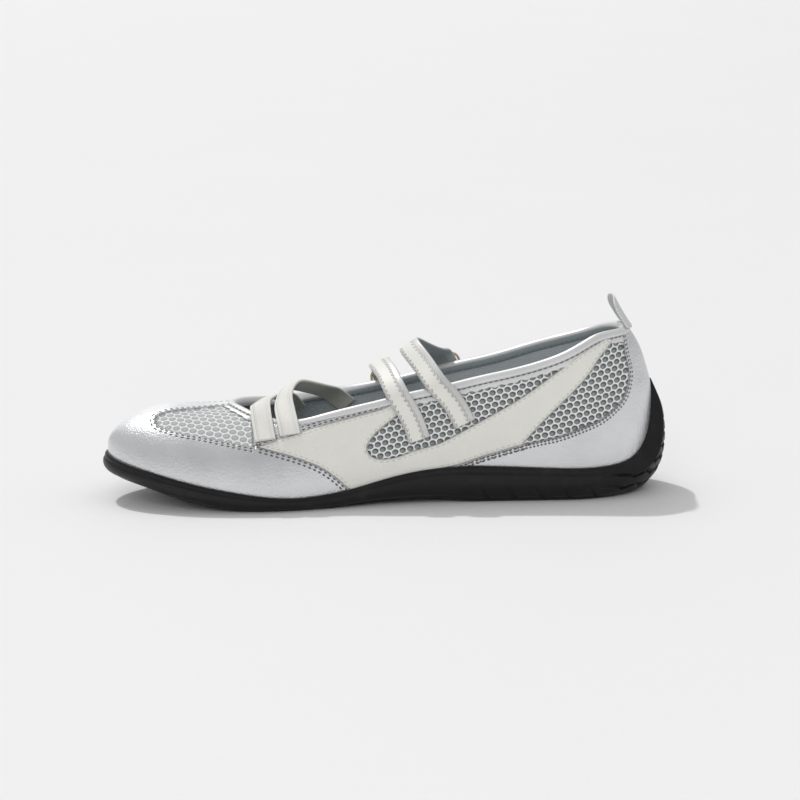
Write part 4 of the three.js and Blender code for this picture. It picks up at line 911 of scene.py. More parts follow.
def elastic_material():
    """Off-white elastic: fine ribs along its length, a sewn line near each edge."""
    material, n, shader = new_material("throat_elastic")
    place = object_place(n)
    across = n.field("across")
    run = n.field("run")
    under = n.field("under")
    rib = n.math("SINE", n.times(across, 2 * math.pi / 0.62))
    pick = n.math("SINE", n.times(run, 2 * math.pi / 0.5))
    off = n.absolute(across)
    line = n.ramp(n.absolute(n.minus(off, 3.25)), 0.05, 0.28, 1.0, 0.0)
    inner_line = n.ramp(n.absolute(n.minus(off, 2.5)), 0.05, 0.25, 1.0, 0.0)
    line = n.larger(line, n.times(inner_line, 0.6))
    colour = n.mix(n.ramp(n.noise(90.0, 3.0, place), 0.3, 0.7), srgb(233, 232, 227), srgb(240, 239, 234))
    colour = n.mix(n.times(line, 0.3), colour, srgb(150, 148, 140))
    # Painted shade: the elastic's underside is the same off-white painted darker.
    colour = n.mix(n.times(under, 0.8), colour, srgb(192, 190, 178))
    n.plug(shader.inputs["Base Color"], colour)
    shader.inputs["Roughness"].default_value = 0.75
    height = n.plus(n.times(rib, 0.5), n.times(pick, 0.2))
    height = n.minus(height, n.times(line, 1.2))
    n.plug(shader.inputs["Normal"], bump(n, height, 0.00012, 0.6))
    return material


def metal_material():
    """Pale gold plating with fine wear."""
    material, n, shader = new_material("buckle_metal")
    place = object_place(n)
    wear = n.noise(400.0, 4.0, place)
    plating = n.mix(n.ramp(wear, 0.35, 0.7), srgb(196, 178, 142), srgb(222, 208, 176))
    n.plug(shader.inputs["Base Color"], plating)
    n.plug(shader.inputs["Roughness"], n.ramp(wear, 0.3, 0.7, 0.18, 0.34))
    shader.inputs["Metallic"].default_value = 1.0
    n.plug(shader.inputs["Normal"], bump(n, n.noise(1500.0, 2.0, place), 0.00003, 0.5))
    return material


# The upper


def upper_columns(loop, distance, toe_count, clear):
    """Columns of the upper's grid: foot turn, top turn and top girth, for both sides."""
    turn, girth = loop.rail(distance)
    count = loop.count
    first = THROAT_TURN + clear
    share = np.arange(toe_count) / (toe_count - 1)
    toes = first + (1 - first) * (0.6 * share + 0.4 * (1 - np.cos(np.pi * share)) / 2)
    between = np.linspace(THROAT_TURN, first, 8)[1:-1]
    toes = np.concatenate([between, toes])
    throat = turn[count]
    lift = throat + (toes - THROAT_TURN) / (1 - THROAT_TURN) * (1 - throat)
    feet = np.concatenate([loop.turn[: count + 1], toes])
    sides = {}
    index = np.arange(count + 1)
    ridge = np.full(len(toes), 0.5)
    sides["medial"] = (np.concatenate([turn[index], lift]), np.concatenate([girth[index], ridge]))
    back = (len(turn) - index) % len(turn)
    lateral = np.where(index == 0, girth[0], 1 - girth[back])
    sides["lateral"] = (np.concatenate([turn[back], lift]), np.concatenate([lateral, ridge]))
    return feet, sides


def side_grid(feet, top, up, side):
    """Turn and girth of one side's grid; up runs from the foot to the top."""
    tops, girths = top
    turn = feet[:, None] + (tops - feet)[:, None] * up
    girth = girths[:, None] * up
    return turn, (girth if side == "medial" else 1 - girth)


def side_faces(ring, start, first_open, top, side):
    """Quads of one side's rings, left open along the ridge ahead of the collar."""
    columns, width = ring.shape[:2]
    faces = grid_faces(columns, width, start, around=True).reshape(columns - 1, width, 4)
    keep = np.ones((columns - 1, width), bool)
    keep[first_open:, top] = False
    faces = faces[keep]
    return faces if side == "medial" else faces[:, ::-1]


def crease(turn, girth):
    """Soft creases in mm, listed one by one: troughs and ridges across the vamp and low on the quarters."""
    station = station_of(turn)
    side = np.minimum(girth, 1 - girth) * 2
    value = np.zeros_like(station)
    for centre, slant, wide, deep, low, high in (
        (0.700, 0.05, 0.014, -0.16, 0.10, 0.62),
        (0.722, 0.08, 0.014, 0.10, 0.10, 0.60),
        (0.745, 0.10, 0.016, -0.12, 0.15, 0.58),
        (0.655, 0.03, 0.014, -0.14, 0.12, 0.50),
        (0.600, -0.04, 0.014, -0.12, 0.10, 0.42),
        (0.300, -0.10, 0.020, -0.22, 0.12, 0.60),
        (0.170, -0.06, 0.016, -0.20, 0.15, 0.60),
    ):
        line = (station - centre - slant * (side - 0.4)) / wide
        fade = smooth((side - low) / 0.12) * smooth((high - side) / 0.12)
        value += deep * np.exp(-line**2) * fade
    return value


def upper_fields(points, normals, side):
    """Distances and runs of all seams at the points of the skin."""
    flat = points[:, [0, 2]]
    pull = normals[:, [0, 2]]
    white_line = outline(OVERLAY_SEAM, COLLAR_HEIGHT)
    lift = wall_y(white_line)
    white, white_run = seam_field(flat, pull, white_line, lift)
    toe, _ = seam_field(flat, pull, outline(TOE_SEAM, COLLAR_HEIGHT))
    facing, _ = seam_field(flat, pull, outline(FACING_SEAM, COLLAR_HEIGHT))
    counter_line = outline(COUNTER_SEAM, COLLAR_HEIGHT)
    counter, counter_run = seam_field(flat, pull, counter_line, wall_y(counter_line))
    plan_line = outline(VAMP_WINDOW, BALL_WIDTH)
    if side == "lateral":
        plan_line = plan_line * (1, -LATERAL_SCALE)
    window, window_run = seam_field(points[:, :2], normals[:, :2], plan_line, roof_z(plan_line))
    window = np.where(points[:, 0] < HEEL_BACK - 0.6 * LENGTH, window, -9.0)
    toe = np.minimum(np.minimum(toe, -white), -window)
    facing = np.minimum(facing, -white)
    counter = np.minimum(counter, -white)
    silver = np.maximum(np.maximum(toe, facing), counter)
    return {
        "white": np.clip(white, -12, 12), "white_run": white_run,
        "window": np.clip(window, -12, 12), "window_run": window_run,
        "counter": np.clip(counter, -12, 12), "counter_run": counter_run,
        "silver": np.clip(silver, -12, 12),
    }


def ridge_distance(turn, girth, legs=14):
    """Length in mm of the skin's girth line from each point to the ridge: summed chords at fixed turn."""
    total = np.zeros(turn.shape)
    before = skin(turn, girth)
    for leg in range(1, legs + 1):
        after = skin(turn, girth + (0.5 - girth) * leg / legs)
        total += np.linalg.norm(after - before, axis=-1)
        before = after
    return total


def make_upper(material):
    """Closed skin of the upper: fine outer sheet with panel steps, coarse inner sheet, shared edges."""
    loop = Collar(236)
    feet, sides = upper_columns(loop, BINDING_TURN + GAP, 98, 0.045)
    rows = 132
    inner_rows = 8
    lists = {"points": [], "faces": [], "fields": []}
    start = 0
    for side in ("medial", "lateral"):
        v = np.linspace(0, 1, rows + 1)[None, :]
        turn, girth = side_grid(feet, sides[side], v, side)
        base = skin(turn, girth)
        n = normal(turn, girth)
        fields = upper_fields(base.reshape(-1, 3), n.reshape(-1, 3), side)
        panel = np.maximum(fields["silver"], fields["white"]).reshape(turn.shape)
        silver = fields["silver"].reshape(turn.shape)
        depth = -0.95 * (1 - smooth((panel + 1.0) / 1.2)) + 0.12 * smooth((silver + 0.2) / 0.9)
        held = smooth(v * 12) * smooth((1 - v) * 10 + (station_of(turn) > THROAT))
        depth = depth + crease(turn, girth) * held * 0.8
        outer = base + n * depth[..., None]
        inner_up = np.linspace(0, 1, inner_rows + 1)[None, :]
        inner = at(*side_grid(feet, sides[side], inner_up, side), WALL_INNER)
        ring = np.concatenate([outer, inner[:, ::-1]], 1)
        place = base.reshape(-1, 3)
        arc = ridge_distance(turn, girth)
        vamp = station_of(turn) > 0.70
        u_side = place[:, 0].reshape(turn.shape)
        w_side = place[:, 2].reshape(turn.shape)
        tilt = math.radians(-12)
        lean = math.radians(20)
        u_quarter = u_side * math.cos(tilt) - w_side * math.sin(tilt)
        w_quarter = u_side * math.sin(tilt) + w_side * math.cos(tilt)
        u = np.where(vamp, u_side * math.cos(lean) + arc * math.sin(lean), u_quarter)
        w = np.where(vamp, arc * math.cos(lean) - u_side * math.sin(lean), w_quarter)
        wider = np.where(vamp, 0.88, 1.0)
        net = np.stack([u * wider, w * wider, np.zeros_like(u)], -1)
        station = station_of(turn)
        pebble = smooth((0.10 - station) / 0.05) * smooth((v - 0.45) / 0.2)
        fields["net"] = net.reshape(-1, 3)
        fields["pebble"] = np.broadcast_to(pebble, turn.shape).reshape(-1)
        # vamp marks where the net holes are painted lighter, as painted light on the toe.
        fields["vamp"] = smooth((station - 0.66) / 0.04).reshape(-1)
        full = {}
        for key, values in fields.items():
            tail = values.shape[1:]
            sheet = values.reshape(turn.shape + tail)
            pick = np.round(np.linspace(0, rows, inner_rows + 1)).astype(int)[::-1]
            full[key] = np.concatenate([sheet, sheet[:, pick]], 1).reshape((-1,) + tail)
        lists["points"].append(ring.reshape(-1, 3))
        lists["faces"].append(side_faces(ring, start, loop.count, rows, side))
        lists["fields"].append(full)
        start += ring.shape[0] * ring.shape[1]
    fields = {key: np.concatenate([f[key] for f in lists["fields"]]) for key in lists["fields"][0]}
    return build(
        "upper_skin", np.concatenate(lists["points"]), np.concatenate(lists["faces"]), fields,
        material,
        (
            "upper", "toe_mudguard", "medial_facing", "lateral_facing",
            "medial_overlay", "lateral_overlay", "heel_counter",
        ),
    )


def make_lining(material):
    """Lining: a thin closed sheet just inside the wall, from the insole up to the binding's inner leg."""
    loop = Collar(110)
    feet, sides = upper_columns(loop, BINDING_INSIDE - 0.3, 40, 0.045)
    rows = 26
    points, faces, nets = [], [], []
    start = 0
    for side in ("medial", "lateral"):
        turn, girth = side_grid(feet, sides[side], np.linspace(0.03, 1, rows + 1)[None, :], side)
        near = at(turn, girth, WALL_INNER - 0.06)
        far = at(turn, girth, WALL_INNER - 0.32)
        ring = np.concatenate([near, far[:, ::-1]], 1)
        net = np.stack([near[..., 0], near[..., 2] + np.abs(near[..., 1]) * 0.4, np.zeros_like(turn)], -1)
        nets.append(np.concatenate([net, net[:, ::-1]], 1).reshape(-1, 3))
        points.append(ring.reshape(-1, 3))
        faces.append(side_faces(ring, start, loop.count, rows, side))
        start += ring.shape[0] * ring.shape[1]
    fields = {"net": np.concatenate(nets)}
    return build("lining", np.concatenate(points), np.concatenate(faces), fields, material)


# The sole


def tread_height(station):
    """Height of the tread: arch and toe spring."""
    arch = smooth((station - ARCH_START) / ARCH_RISE) * smooth((ARCH_END - station) / ARCH_FALL)
    spring = smooth((station - SPRING_START) / SPRING_LENGTH)
    return SOLE_HEIGHT * (ARCH_LIFT * arch + TOE_LIFT * spring)


def sole_edge(turn, side, share):
    """Side of the rubber: the last's outline at that height, moved out along the floor by the side table."""
    turn, share = np.broadcast_arrays(turn, share)
    station = station_of(turn)
    girth = 0.0 if side == "medial" else 1.0
    e = SLOPE_STEP
    run = skin(turn + e, girth) - skin(turn - e, girth)
    outwards = unit(np.stack([run[..., 1], -run[..., 0], np.zeros(turn.shape)], -1))
    if side == "medial":
        outwards = -outwards
    tread = tread_height(station)
    rim = rim_height(turn) * SOLE_HEIGHT
    z = tread + share * (rim - tread)
    backness = smooth(1 - station / BACK_BLEND)
    toeness = smooth((station - TOE_BLEND_START) / TOE_BLEND_LENGTH)
    back_share = z / (RIM[0, 1] * SOLE_HEIGHT)
    back = np.minimum(sole_out["back"](back_share), sole_out["back"](1.0) + RIM_SLOPE * (rim - z) + 0.5)
    out = back * backness + sole_out["toe"](share) * toeness
    out = out + sole_out["side"](share) * (1 - backness - toeness)
    over = np.maximum(0, z - edge_height(station)) / crown_height(station)
    level = np.arcsin(np.clip(over, 0, 1) ** (last["square"](station) / 2)) / np.pi
    base = skin(turn, level if side == "medial" else 1 - level)
    base[..., 2] = z
    return base + outwards * out[..., None], outwards


def sole_relief(points, share, turn):
    """Relief of the rubber's side in mm: sums of Gaussian troughs, exp(-(offset / width)^2).

    They are a lip line under the rim, zig-zag notches on the heel, slits beside it and a toe groove.
    """
    z = points[..., 2]
    station = station_of(turn)
    backness = smooth((0.11 - station) / 0.05)
    value = -0.34 * np.exp(-(((share - 0.86) / 0.045) ** 2)) * smooth((station - 0.06) / 0.05)
    zig = 1.8 * (2 * np.abs((points[..., 1] / 7.0) % 1.0 - 0.5) - 0.5)
    for k in range(6):
        level = 5.2 + 5.4 * k + zig
        line = np.exp(-(((z - level) / 0.62) ** 2))
        value += -1.5 * line * backness * smooth((0.8 - share) / 0.1) * smooth((share - 0.05) / 0.05)
    low = smooth((0.55 - share) / 0.25) * smooth((share - 0.04) / 0.08)
    for centre in (0.115, 0.165, 0.215, 0.265, 0.315):
        slant = (points[..., 0] - (HEEL_BACK - centre * LENGTH) - 0.8 * (5 - z)) / 0.7
        value += -1.0 * np.exp(-slant**2) * low
    toe_groove = np.exp(-(((share - 0.30) / 0.05) ** 2)) * smooth((station - 0.78) / 0.06)
    value += -0.45 * toe_groove
    return value


def make_sole(material):
    """Cup sole as closed rings: tread across, sides up, rounded rim, down the last and across the cup."""
    heel, side_part, toe = np.linspace(0, 0.1, 60), np.linspace(0.1, 0.97, 330), np.linspace(0.97, 1, 26)
    ends = np.concatenate([heel[:-1], side_part[:-1], toe])
    turn = ends[:, None]
    station = station_of(turn)
    share = np.concatenate([np.linspace(0, 0.06, 6)[:-1], np.linspace(0.06, 1, 54)])[None, :]
    parts = {}
    for side in ("medial", "lateral"):
        edge, outwards = sole_edge(turn, side, share)
        edge = edge + outwards * sole_relief(edge, share, turn)[..., None]
        top = edge[:, -1]
        rim_z = rim_height(turn[:, 0]) * SOLE_HEIGHT
        station_line = station[:, 0]
        over = np.clip((rim_z - edge_height(station_line)) / crown_height(station_line), 0, 1)
        level = np.arcsin(over ** (last["square"](station_line) / 2)) / np.pi
        girth = level if side == "medial" else 1 - level
        seat = at(turn[:, 0], girth, 0.02)
        roll = []
        for angle in (30, 60, 90, 120, 150):
            a = math.radians(angle)
            way = (1 - math.cos(a)) / 2
            point = top * (1 - way) + seat * way
            point[:, 2] += 0.28 * math.sin(a)
            roll.append(point)
        inner = []
        for part in (1.0, 0.66, 0.33, 0.0):
            g = level * part
            point = at(turn[:, 0], g if side == "medial" else 1 - g, -0.05)
            if part == 0.0:
                point[:, 2] = edge_height(station_line) - 0.3
            inner.append(point)
        parts[side] = np.concatenate([edge, np.stack(roll + inner, 1)], 1)
    medial, lateral = parts["medial"], parts["lateral"]
    across = 38
    s = np.linspace(0, 1, across + 2)[1:-1][None, :, None]
    tread = lateral[:, :1] * (1 - s) + medial[:, :1] * s
    grooves = np.zeros(tread.shape[:2])
    for centre, behind, ahead in TREAD_ZONES:
        for i in range(-behind, ahead):
            x = HEEL_BACK - (centre + (i + 0.5) * TREAD_PITCH) * LENGTH
            grooves = np.maximum(grooves, np.exp(-(((tread[..., 0] - x) / 0.85) ** 4)))
    inset = np.minimum(tread[..., 1] - medial[:, :1, 1], lateral[:, :1, 1] - tread[..., 1])
    tread[..., 2] += grooves * smooth((inset - 3) / 2) * 1.0
    cup = medial[:, -1:] * (1 - s[:, ::3]) + lateral[:, -1:] * s[:, ::3]
    ring = np.concatenate([medial, cup, lateral[:, ::-1], tread], 1)
    count, width = ring.shape[:2]
    faces = grid_faces(count, width, 0, around=True)
    return build("rubber_sole", ring.reshape(-1, 3), faces, None, material, ("outsole",))


def make_insole(material):
    """Insole: plan outline of the wall's inside, flat under, its top rounded over at the rim."""
    turn = np.linspace(0, 1, 150)
    station = station_of(turn)
    inset = WALL_INNER - GAP - 0.1
    low = edge_height(station) + 0.05
    medial = at(turn, np.zeros_like(turn), inset)
    lateral = at(turn, np.ones_like(turn), inset)
    s = (1 - np.cos(np.pi * np.linspace(0, 1, 41))) / 2
    plan = medial[:, None] * (1 - s[None, :, None]) + lateral[:, None] * s[None, :, None]
    high = plan.copy()
    under = plan[:, ::-1].copy()
    width = np.abs(lateral[:, 1] - medial[:, 1])[:, None]
    gap = np.minimum(s, 1 - s)[None, :] * width
    high[..., 2] = low[:, None] + INSOLE_THICK - 0.5 * (1 - circle_in(gap / 2.5))
    under[..., 2] = low[:, None]
    ring = np.concatenate([high, under], 1)
    faces = grid_faces(len(turn), ring.shape[1], 0, around=True)
    return build("insole_board", ring.reshape(-1, 3), faces, None, material, ("insole",))


# Binding, straps, tab and buckles

BINDING_PROFILE = (
    (FACING_LEG - 0.45, WALL_OUTER + BINDING_SLACK, 0), (FACING_LEG, -0.3, 0), (FACING_LEG - 0.25, -0.05, 0),
    (BINDING_LEG + 0.55, -0.02, 0), (BINDING_LEG + 0.2, -0.10, 0), (BINDING_LEG, 0.02, 0),
    (BINDING_LEG - 0.3, 0.42, 0), (3.0, 0.66, 0), (2.3, 0.8, 0), (1.6, 0.76, 0), (0.9, 0.52, 0),
    (0.35, 0.1, 0), (0.0, -0.5, 0), (-0.15, -1.2, 0), (-0.15, -1.9, 0), (0.0, -2.6, 0), (0.3, -3.2, 0),
    (0.8, -3.7, 0.3), (1.5, -3.95, 1), (2.6, -4.0, 1), (BINDING_INSIDE - 0.3, -4.0, 1),
    (BINDING_INSIDE, -3.85, 1),
    (BINDING_INSIDE, WALL_INNER - BINDING_SLACK, 1), (BINDING_TURN, WALL_INNER - BINDING_SLACK, 1),
    (BINDING_TURN, WALL_OUTER + BINDING_SLACK, 0),
)


def make_binding(material):
    """Rolled binding: the profile's rails follow the collar; the roll puckers a little at each stitch."""
    loop = Collar(330)
    rows = []
    inside = []
    below = []
    for down, off, inner in BINDING_PROFILE:
        wave = np.zeros_like(loop.run)
        if down > FACING_LEG - 0.6:
            wave = 0.32 * np.sin(loop.run * 2 * np.pi / 4.6) + 0.2 * np.sin(loop.run * 2 * np.pi / 7.9 + 1.0)
        swell = 0.5 + 0.5 * np.cos(loop.run * 2 * np.pi / ROLL_PITCH)
        pucker = -0.07 * swell * (1.5 < down < 3.8) * (off > 0)
        turn, girth = walk(loop.turn, loop.girth, loop.down, down + wave)
        turn[0] = 0
        girth[loop.count] = 0.5
        rows.append(at(turn, girth, off + pucker))
        inside.append(np.full(len(turn), float(inner)))
        below.append(np.full(len(turn), float(down)))
    ring = np.stack(rows, 1)
    count, width = ring.shape[:2]
    run = np.repeat(loop.run[:, None], width, 1)
    pitches = round(loop.length / ROLL_PITCH)
    run = run * (pitches * ROLL_PITCH / loop.length)
    fields = {"below": np.stack(below, 1).reshape(-1), "inside": np.stack(inside, 1).reshape(-1)}
    fields["run"] = run.reshape(-1)
    faces = grid_faces(count, width, 0, around=True, loop=True)
    stands_for = ("collar_binding", "throat_binding")
    return build("rolled_binding", ring.reshape(-1, 3), faces, fields, material, stands_for)


REST = GAP + STRAP_THICK / 2
OVER = 1.2 + STRAP_THICK / 2
RAISED = 3.6
INNER = -4 - GAP - STRAP_THICK / 2
# Lines of the straps. On a wall: side, station, up, depth. Free: "", station, out, high.
LINES = {
    "elastic_front": (
        ("medial", 0.7160, 0.62, REST), ("medial", 0.7200, 0.84, 1.5), ("medial", 0.7210, 1.03, OVER + 0.3),
        ("", 0.7180, -0.120, 0.577), ("", 0.698, -0.020, 0.592), ("", 0.676, 0.095, 0.575),
        ("lateral", 0.655, 0.97, INNER), ("lateral", 0.648, 0.84, INNER),
    ),
    "elastic_rear": (
        ("medial", 0.6710, 0.75, REST), ("medial", 0.6735, 0.90, 1.75), ("medial", 0.6755, 1.03, OVER + 0.1),
        ("", 0.6770, -0.165, 0.622), ("", 0.664, -0.075, 0.668),
        ("", 0.642, 0.020, 0.652), ("", 0.600, 0.155, 0.590),
        ("lateral", 0.562, 0.88, INNER - 0.4), ("lateral", 0.545, 0.74, INNER),
    ),
    "strap_front": (
        ("medial", 0.4340, 0.43, -0.1), ("medial", 0.4500, 0.70, 1.1), ("medial", 0.4730, 1.00, OVER),
        ("", 0.4870, -0.200, 0.752), ("", 0.4965, -0.030, 0.784), ("", 0.4920, 0.120, 0.756),
        ("", 0.4840, 0.270, 0.700), ("lateral", 0.4780, 1.07, RAISED - 0.2),
        ("lateral", 0.4740, 0.90, RAISED), ("lateral", 0.4680, 0.62, RAISED - 0.2),
    ),
    "strap_rear": (
        ("medial", 0.3500, 0.53, -0.1), ("medial", 0.3720, 0.78, 1.2), ("medial", 0.3980, 1.00, OVER + 0.15),
        ("", 0.4230, -0.200, 0.815), ("", 0.4420, -0.020, 0.893), ("", 0.4200, 0.108, 0.843),
        ("", 0.3780, 0.285, 0.762), ("lateral", 0.3630, 1.03, RAISED - 0.2),
        ("lateral", 0.3540, 0.90, RAISED), ("lateral", 0.3420, 0.62, RAISED - 0.2),
    ),
    "anchor_front": (
        ("lateral", 0.4600, 0.26, GAP + ANCHOR_THICK / 2), ("lateral", 0.4680, 0.62, 1.1),
        ("lateral", 0.4738, 0.845, 1.12 + ANCHOR_THICK / 2),
    ),
    "anchor_rear": (
        ("lateral", 0.3300, 0.28, GAP + ANCHOR_THICK / 2), ("lateral", 0.3420, 0.62, 1.1),
        ("lateral", 0.3535, 0.845, 1.12 + ANCHOR_THICK / 2),
    ),
}


def wall_spot(side, station, up, depth):
    """Spot on a wall: up is its share of the wall's girth, 1 at the collar line."""
    girth = float(collar_girth[side](collar_key(station))) * up
    turn = float(turn_of(station))
    girth = girth if side == "medial" else 1 - girth
    turn, girth = np.array([turn]), np.array([girth])
    return at(turn, girth, depth)[0], normal(turn, girth)[0]


def strap_frames(rows, count):
    """Places, width and outward directions along a strap: splines through its rows by chord length."""
    spots, offs = [], []
    for side, station, a, b in rows:
        if side:
            point, off = wall_spot(side, station, a, b)
        else:
            point, off = np.array([HEEL_BACK - station * LENGTH, a * BALL_WIDTH, b * COLLAR_HEIGHT]), None
        spots.append(point)
        offs.append(off)
    spots = np.array(spots)
    keys = np.concatenate([[0], np.cumsum(np.linalg.norm(np.diff(spots, axis=0), axis=1))])
    line = [curve(keys, spots[:, i]) for i in range(3)]
    start, middle, finish = spots[0], spots[len(spots) // 2], spots[-1]
    flat = unit(np.cross(middle - start, finish - start))
    if flat[0] < 0:
        flat = -flat
    if rows[0][0] == rows[-1][0]:
        flat = np.array([-1, 0, -0.3])
    widths = np.array([unit(flat if off is None else flat - off * np.dot(flat, off)) for off in offs])
    wide = [curve(keys, widths[:, i]) for i in range(3)]
    total = keys[-1]
    key = np.linspace(0, total, count + 1)

    def place(k):
        return np.stack([f(k) for f in line], -1)

    along = unit(place(np.minimum(key + 0.1, total)) - place(np.maximum(key - 0.1, 0)))
    width = np.stack([f(key) for f in wide], -1)
    width = unit(width - along * dot(width, along))
    off = unit(np.cross(width, along))
    point = place(key)
    legs = np.linalg.norm(np.diff(point, axis=0), axis=1)
    return point, width, off, along, np.concatenate([[0], np.cumsum(legs)])


def make_ribbon(name, rows, width, thick, material, node, count=170, crown=0.0):
    """Strap: a rounded flat section carried along its line, its top crowned, its ends closed."""
    point, wide, off, _, run = strap_frames(rows, count)
    w, t = width / 2, thick / 2
    rounding = 0.5
    top_a = np.linspace(-w + rounding, w - rounding, 22)
    arc = np.radians(np.linspace(90, -90, 7))
    right = np.stack([w - rounding + rounding * np.cos(arc), t * np.sin(arc)], 1)
    top = np.stack([top_a, np.full_like(top_a, t)], 1)
    low = top[::-1] * (1, -1)
    left = right[::-1] * (-1, 1)
    section = np.concatenate([top[:-1], right[:-1], low[:-1], left[:-1]])
    hump = crown * (1 - (section[:, 0] / w) ** 2) * (section[:, 1] > t * 0.6)
    a = section[:, 0][None, :, None]
    b = (section[:, 1] + hump)[None, :, None]
    ring = point[:, None] + wide[:, None] * a + off[:, None] * b
    first = ring[0].mean(0)[None].repeat(ring.shape[1], 0)
    final = ring[-1].mean(0)[None].repeat(ring.shape[1], 0)
    ring = np.concatenate([first[None], ring, final[None]])
    run = np.concatenate([run[:1], run, run[-1:]])
    count, columns = ring.shape[:2]
    below_middle = (section[:, 1] < -t * 0.3).astype(float)
    fields = {
        "across": np.broadcast_to(section[:, 0][None], (count, columns)).reshape(-1),
        "under": np.broadcast_to(below_middle[None], (count, columns)).reshape(-1),
        "run": np.broadcast_to(run[:, None], (count, columns)).reshape(-1),
    }
    faces = grid_faces(count, columns, 0, around=True)
    return build(name, ring.reshape(-1, 3), faces, fields, material, (node,))


BUCKLE_LENGTH = 11.0
BUCKLE_WIDTH = 11.7
WIRE = 0.6
BAR_DROP = WIRE + GAP + 0.25 + STRAP_THICK / 2


def tube(path, radius, closed, sides=14):
    """Round wire along a path: circles in the plane across it, carried by parallel steps; ends domed."""
    path = np.asarray(path, float)
    if closed:
        tangent = unit(np.roll(path, -1, 0) - np.roll(path, 1, 0))
    else:
        tangent = unit(np.gradient(path, axis=0))
    frames = []
    up = unit(np.cross(tangent[0], [0.3, 0.9, 0.2]))
    for t in tangent:
        up = unit(up - t * np.dot(up, t))
        frames.append(up)
    up = np.array(frames)
    side = np.cross(tangent, up)
    angle = np.linspace(0, 2 * np.pi, sides, endpoint=False)[None, :, None]
    radii = np.full(len(path), radius)
    if not closed:
        radii[0] = radii[-1] = radius * 0.55
    spokes = up[:, None] * np.cos(angle) + side[:, None] * np.sin(angle)
    ring = path[:, None] + radii[:, None, None] * spokes
    if closed:
        faces = grid_faces(len(path), sides, 0, around=True, loop=True)
        return ring.reshape(-1, 3), faces
    ring = np.concatenate([path[:1][:, None].repeat(sides, 1), ring, path[-1:][:, None].repeat(sides, 1)])
    return ring.reshape(-1, 3), grid_faces(len(path) + 2, sides, 0, around=True)


def through(places, count, closed=False):
    """Smooth path through a few places: cubic splines by chord length."""
    places = np.array(places, float)
    if closed:
        places = np.concatenate([places[-3:], places, places[:4]])
    keys = np.concatenate([[0], np.cumsum(np.linalg.norm(np.diff(places, axis=0), axis=1))])
    low, high = (keys[3], keys[-4]) if closed else (keys[0], keys[-1])
    key = np.linspace(low, high, count + 1)
    if closed:
        key = key[:-1]
    return np.stack([curve(keys, places[:, i])(key) for i in range(3)], -1)


def make_buckle(name, rows, material, node):
    """Buckle: saddle-shaped ring over the strap, bar under it, tongue through it and over the ring."""
    side, station, up, _ = rows[-2]
    point, off = wall_spot(side, station, up, RAISED)
    below, _ = wall_spot(rows[-1][0], rows[-1][1], rows[-1][2], RAISED)
    down = below - point
    down = unit(down - off * np.dot(down, off))
    wide = unit(np.cross(down, off))

    def place(a, w, n):
        return point + down * a + wide * w + off * n

    angle = np.linspace(0, 2 * np.pi, 36, endpoint=False)
    a = BUCKLE_LENGTH / 2 * np.sign(np.sin(angle)) * np.abs(np.sin(angle)) ** 0.5
    w = BUCKLE_WIDTH / 2 * np.sign(np.cos(angle)) * np.abs(np.cos(angle)) ** 0.5
    n = BAR_DROP * (2 * (2 * a / BUCKLE_LENGTH) ** 2 - 1)
    loop = [place(*v) for v in zip(a, w, n)]
    bar = [place(0, v, -BAR_DROP) for v in np.linspace(-BUCKLE_WIDTH / 2, BUCKLE_WIDTH / 2, 8)]
    tongue = through([
        place(0, 0, -BAR_DROP), place(1.7, 0, -0.2), place(3.6, 0, BAR_DROP + 0.2),
        place(BUCKLE_LENGTH / 2 + 0.9, 0, BAR_DROP + WIRE + 0.3),
    ], 20)
    points, faces, start = [], [], 0
    for path, radius, closed in ((loop, WIRE, True), (bar, WIRE * 0.9, False), (tongue, WIRE * 0.8, False)):
        p, f = tube(through(path, 90, closed) if closed else path, radius, closed)
        points.append(p)
        faces.append(f + start)
        start += len(p)
    return build(name, np.concatenate(points), np.concatenate(faces), None, material, (node,))


TAB_FOOT = 0.972
TAB_RISE = 1.165
TAB_OFF = 1.07
TAB_THICK = 0.9


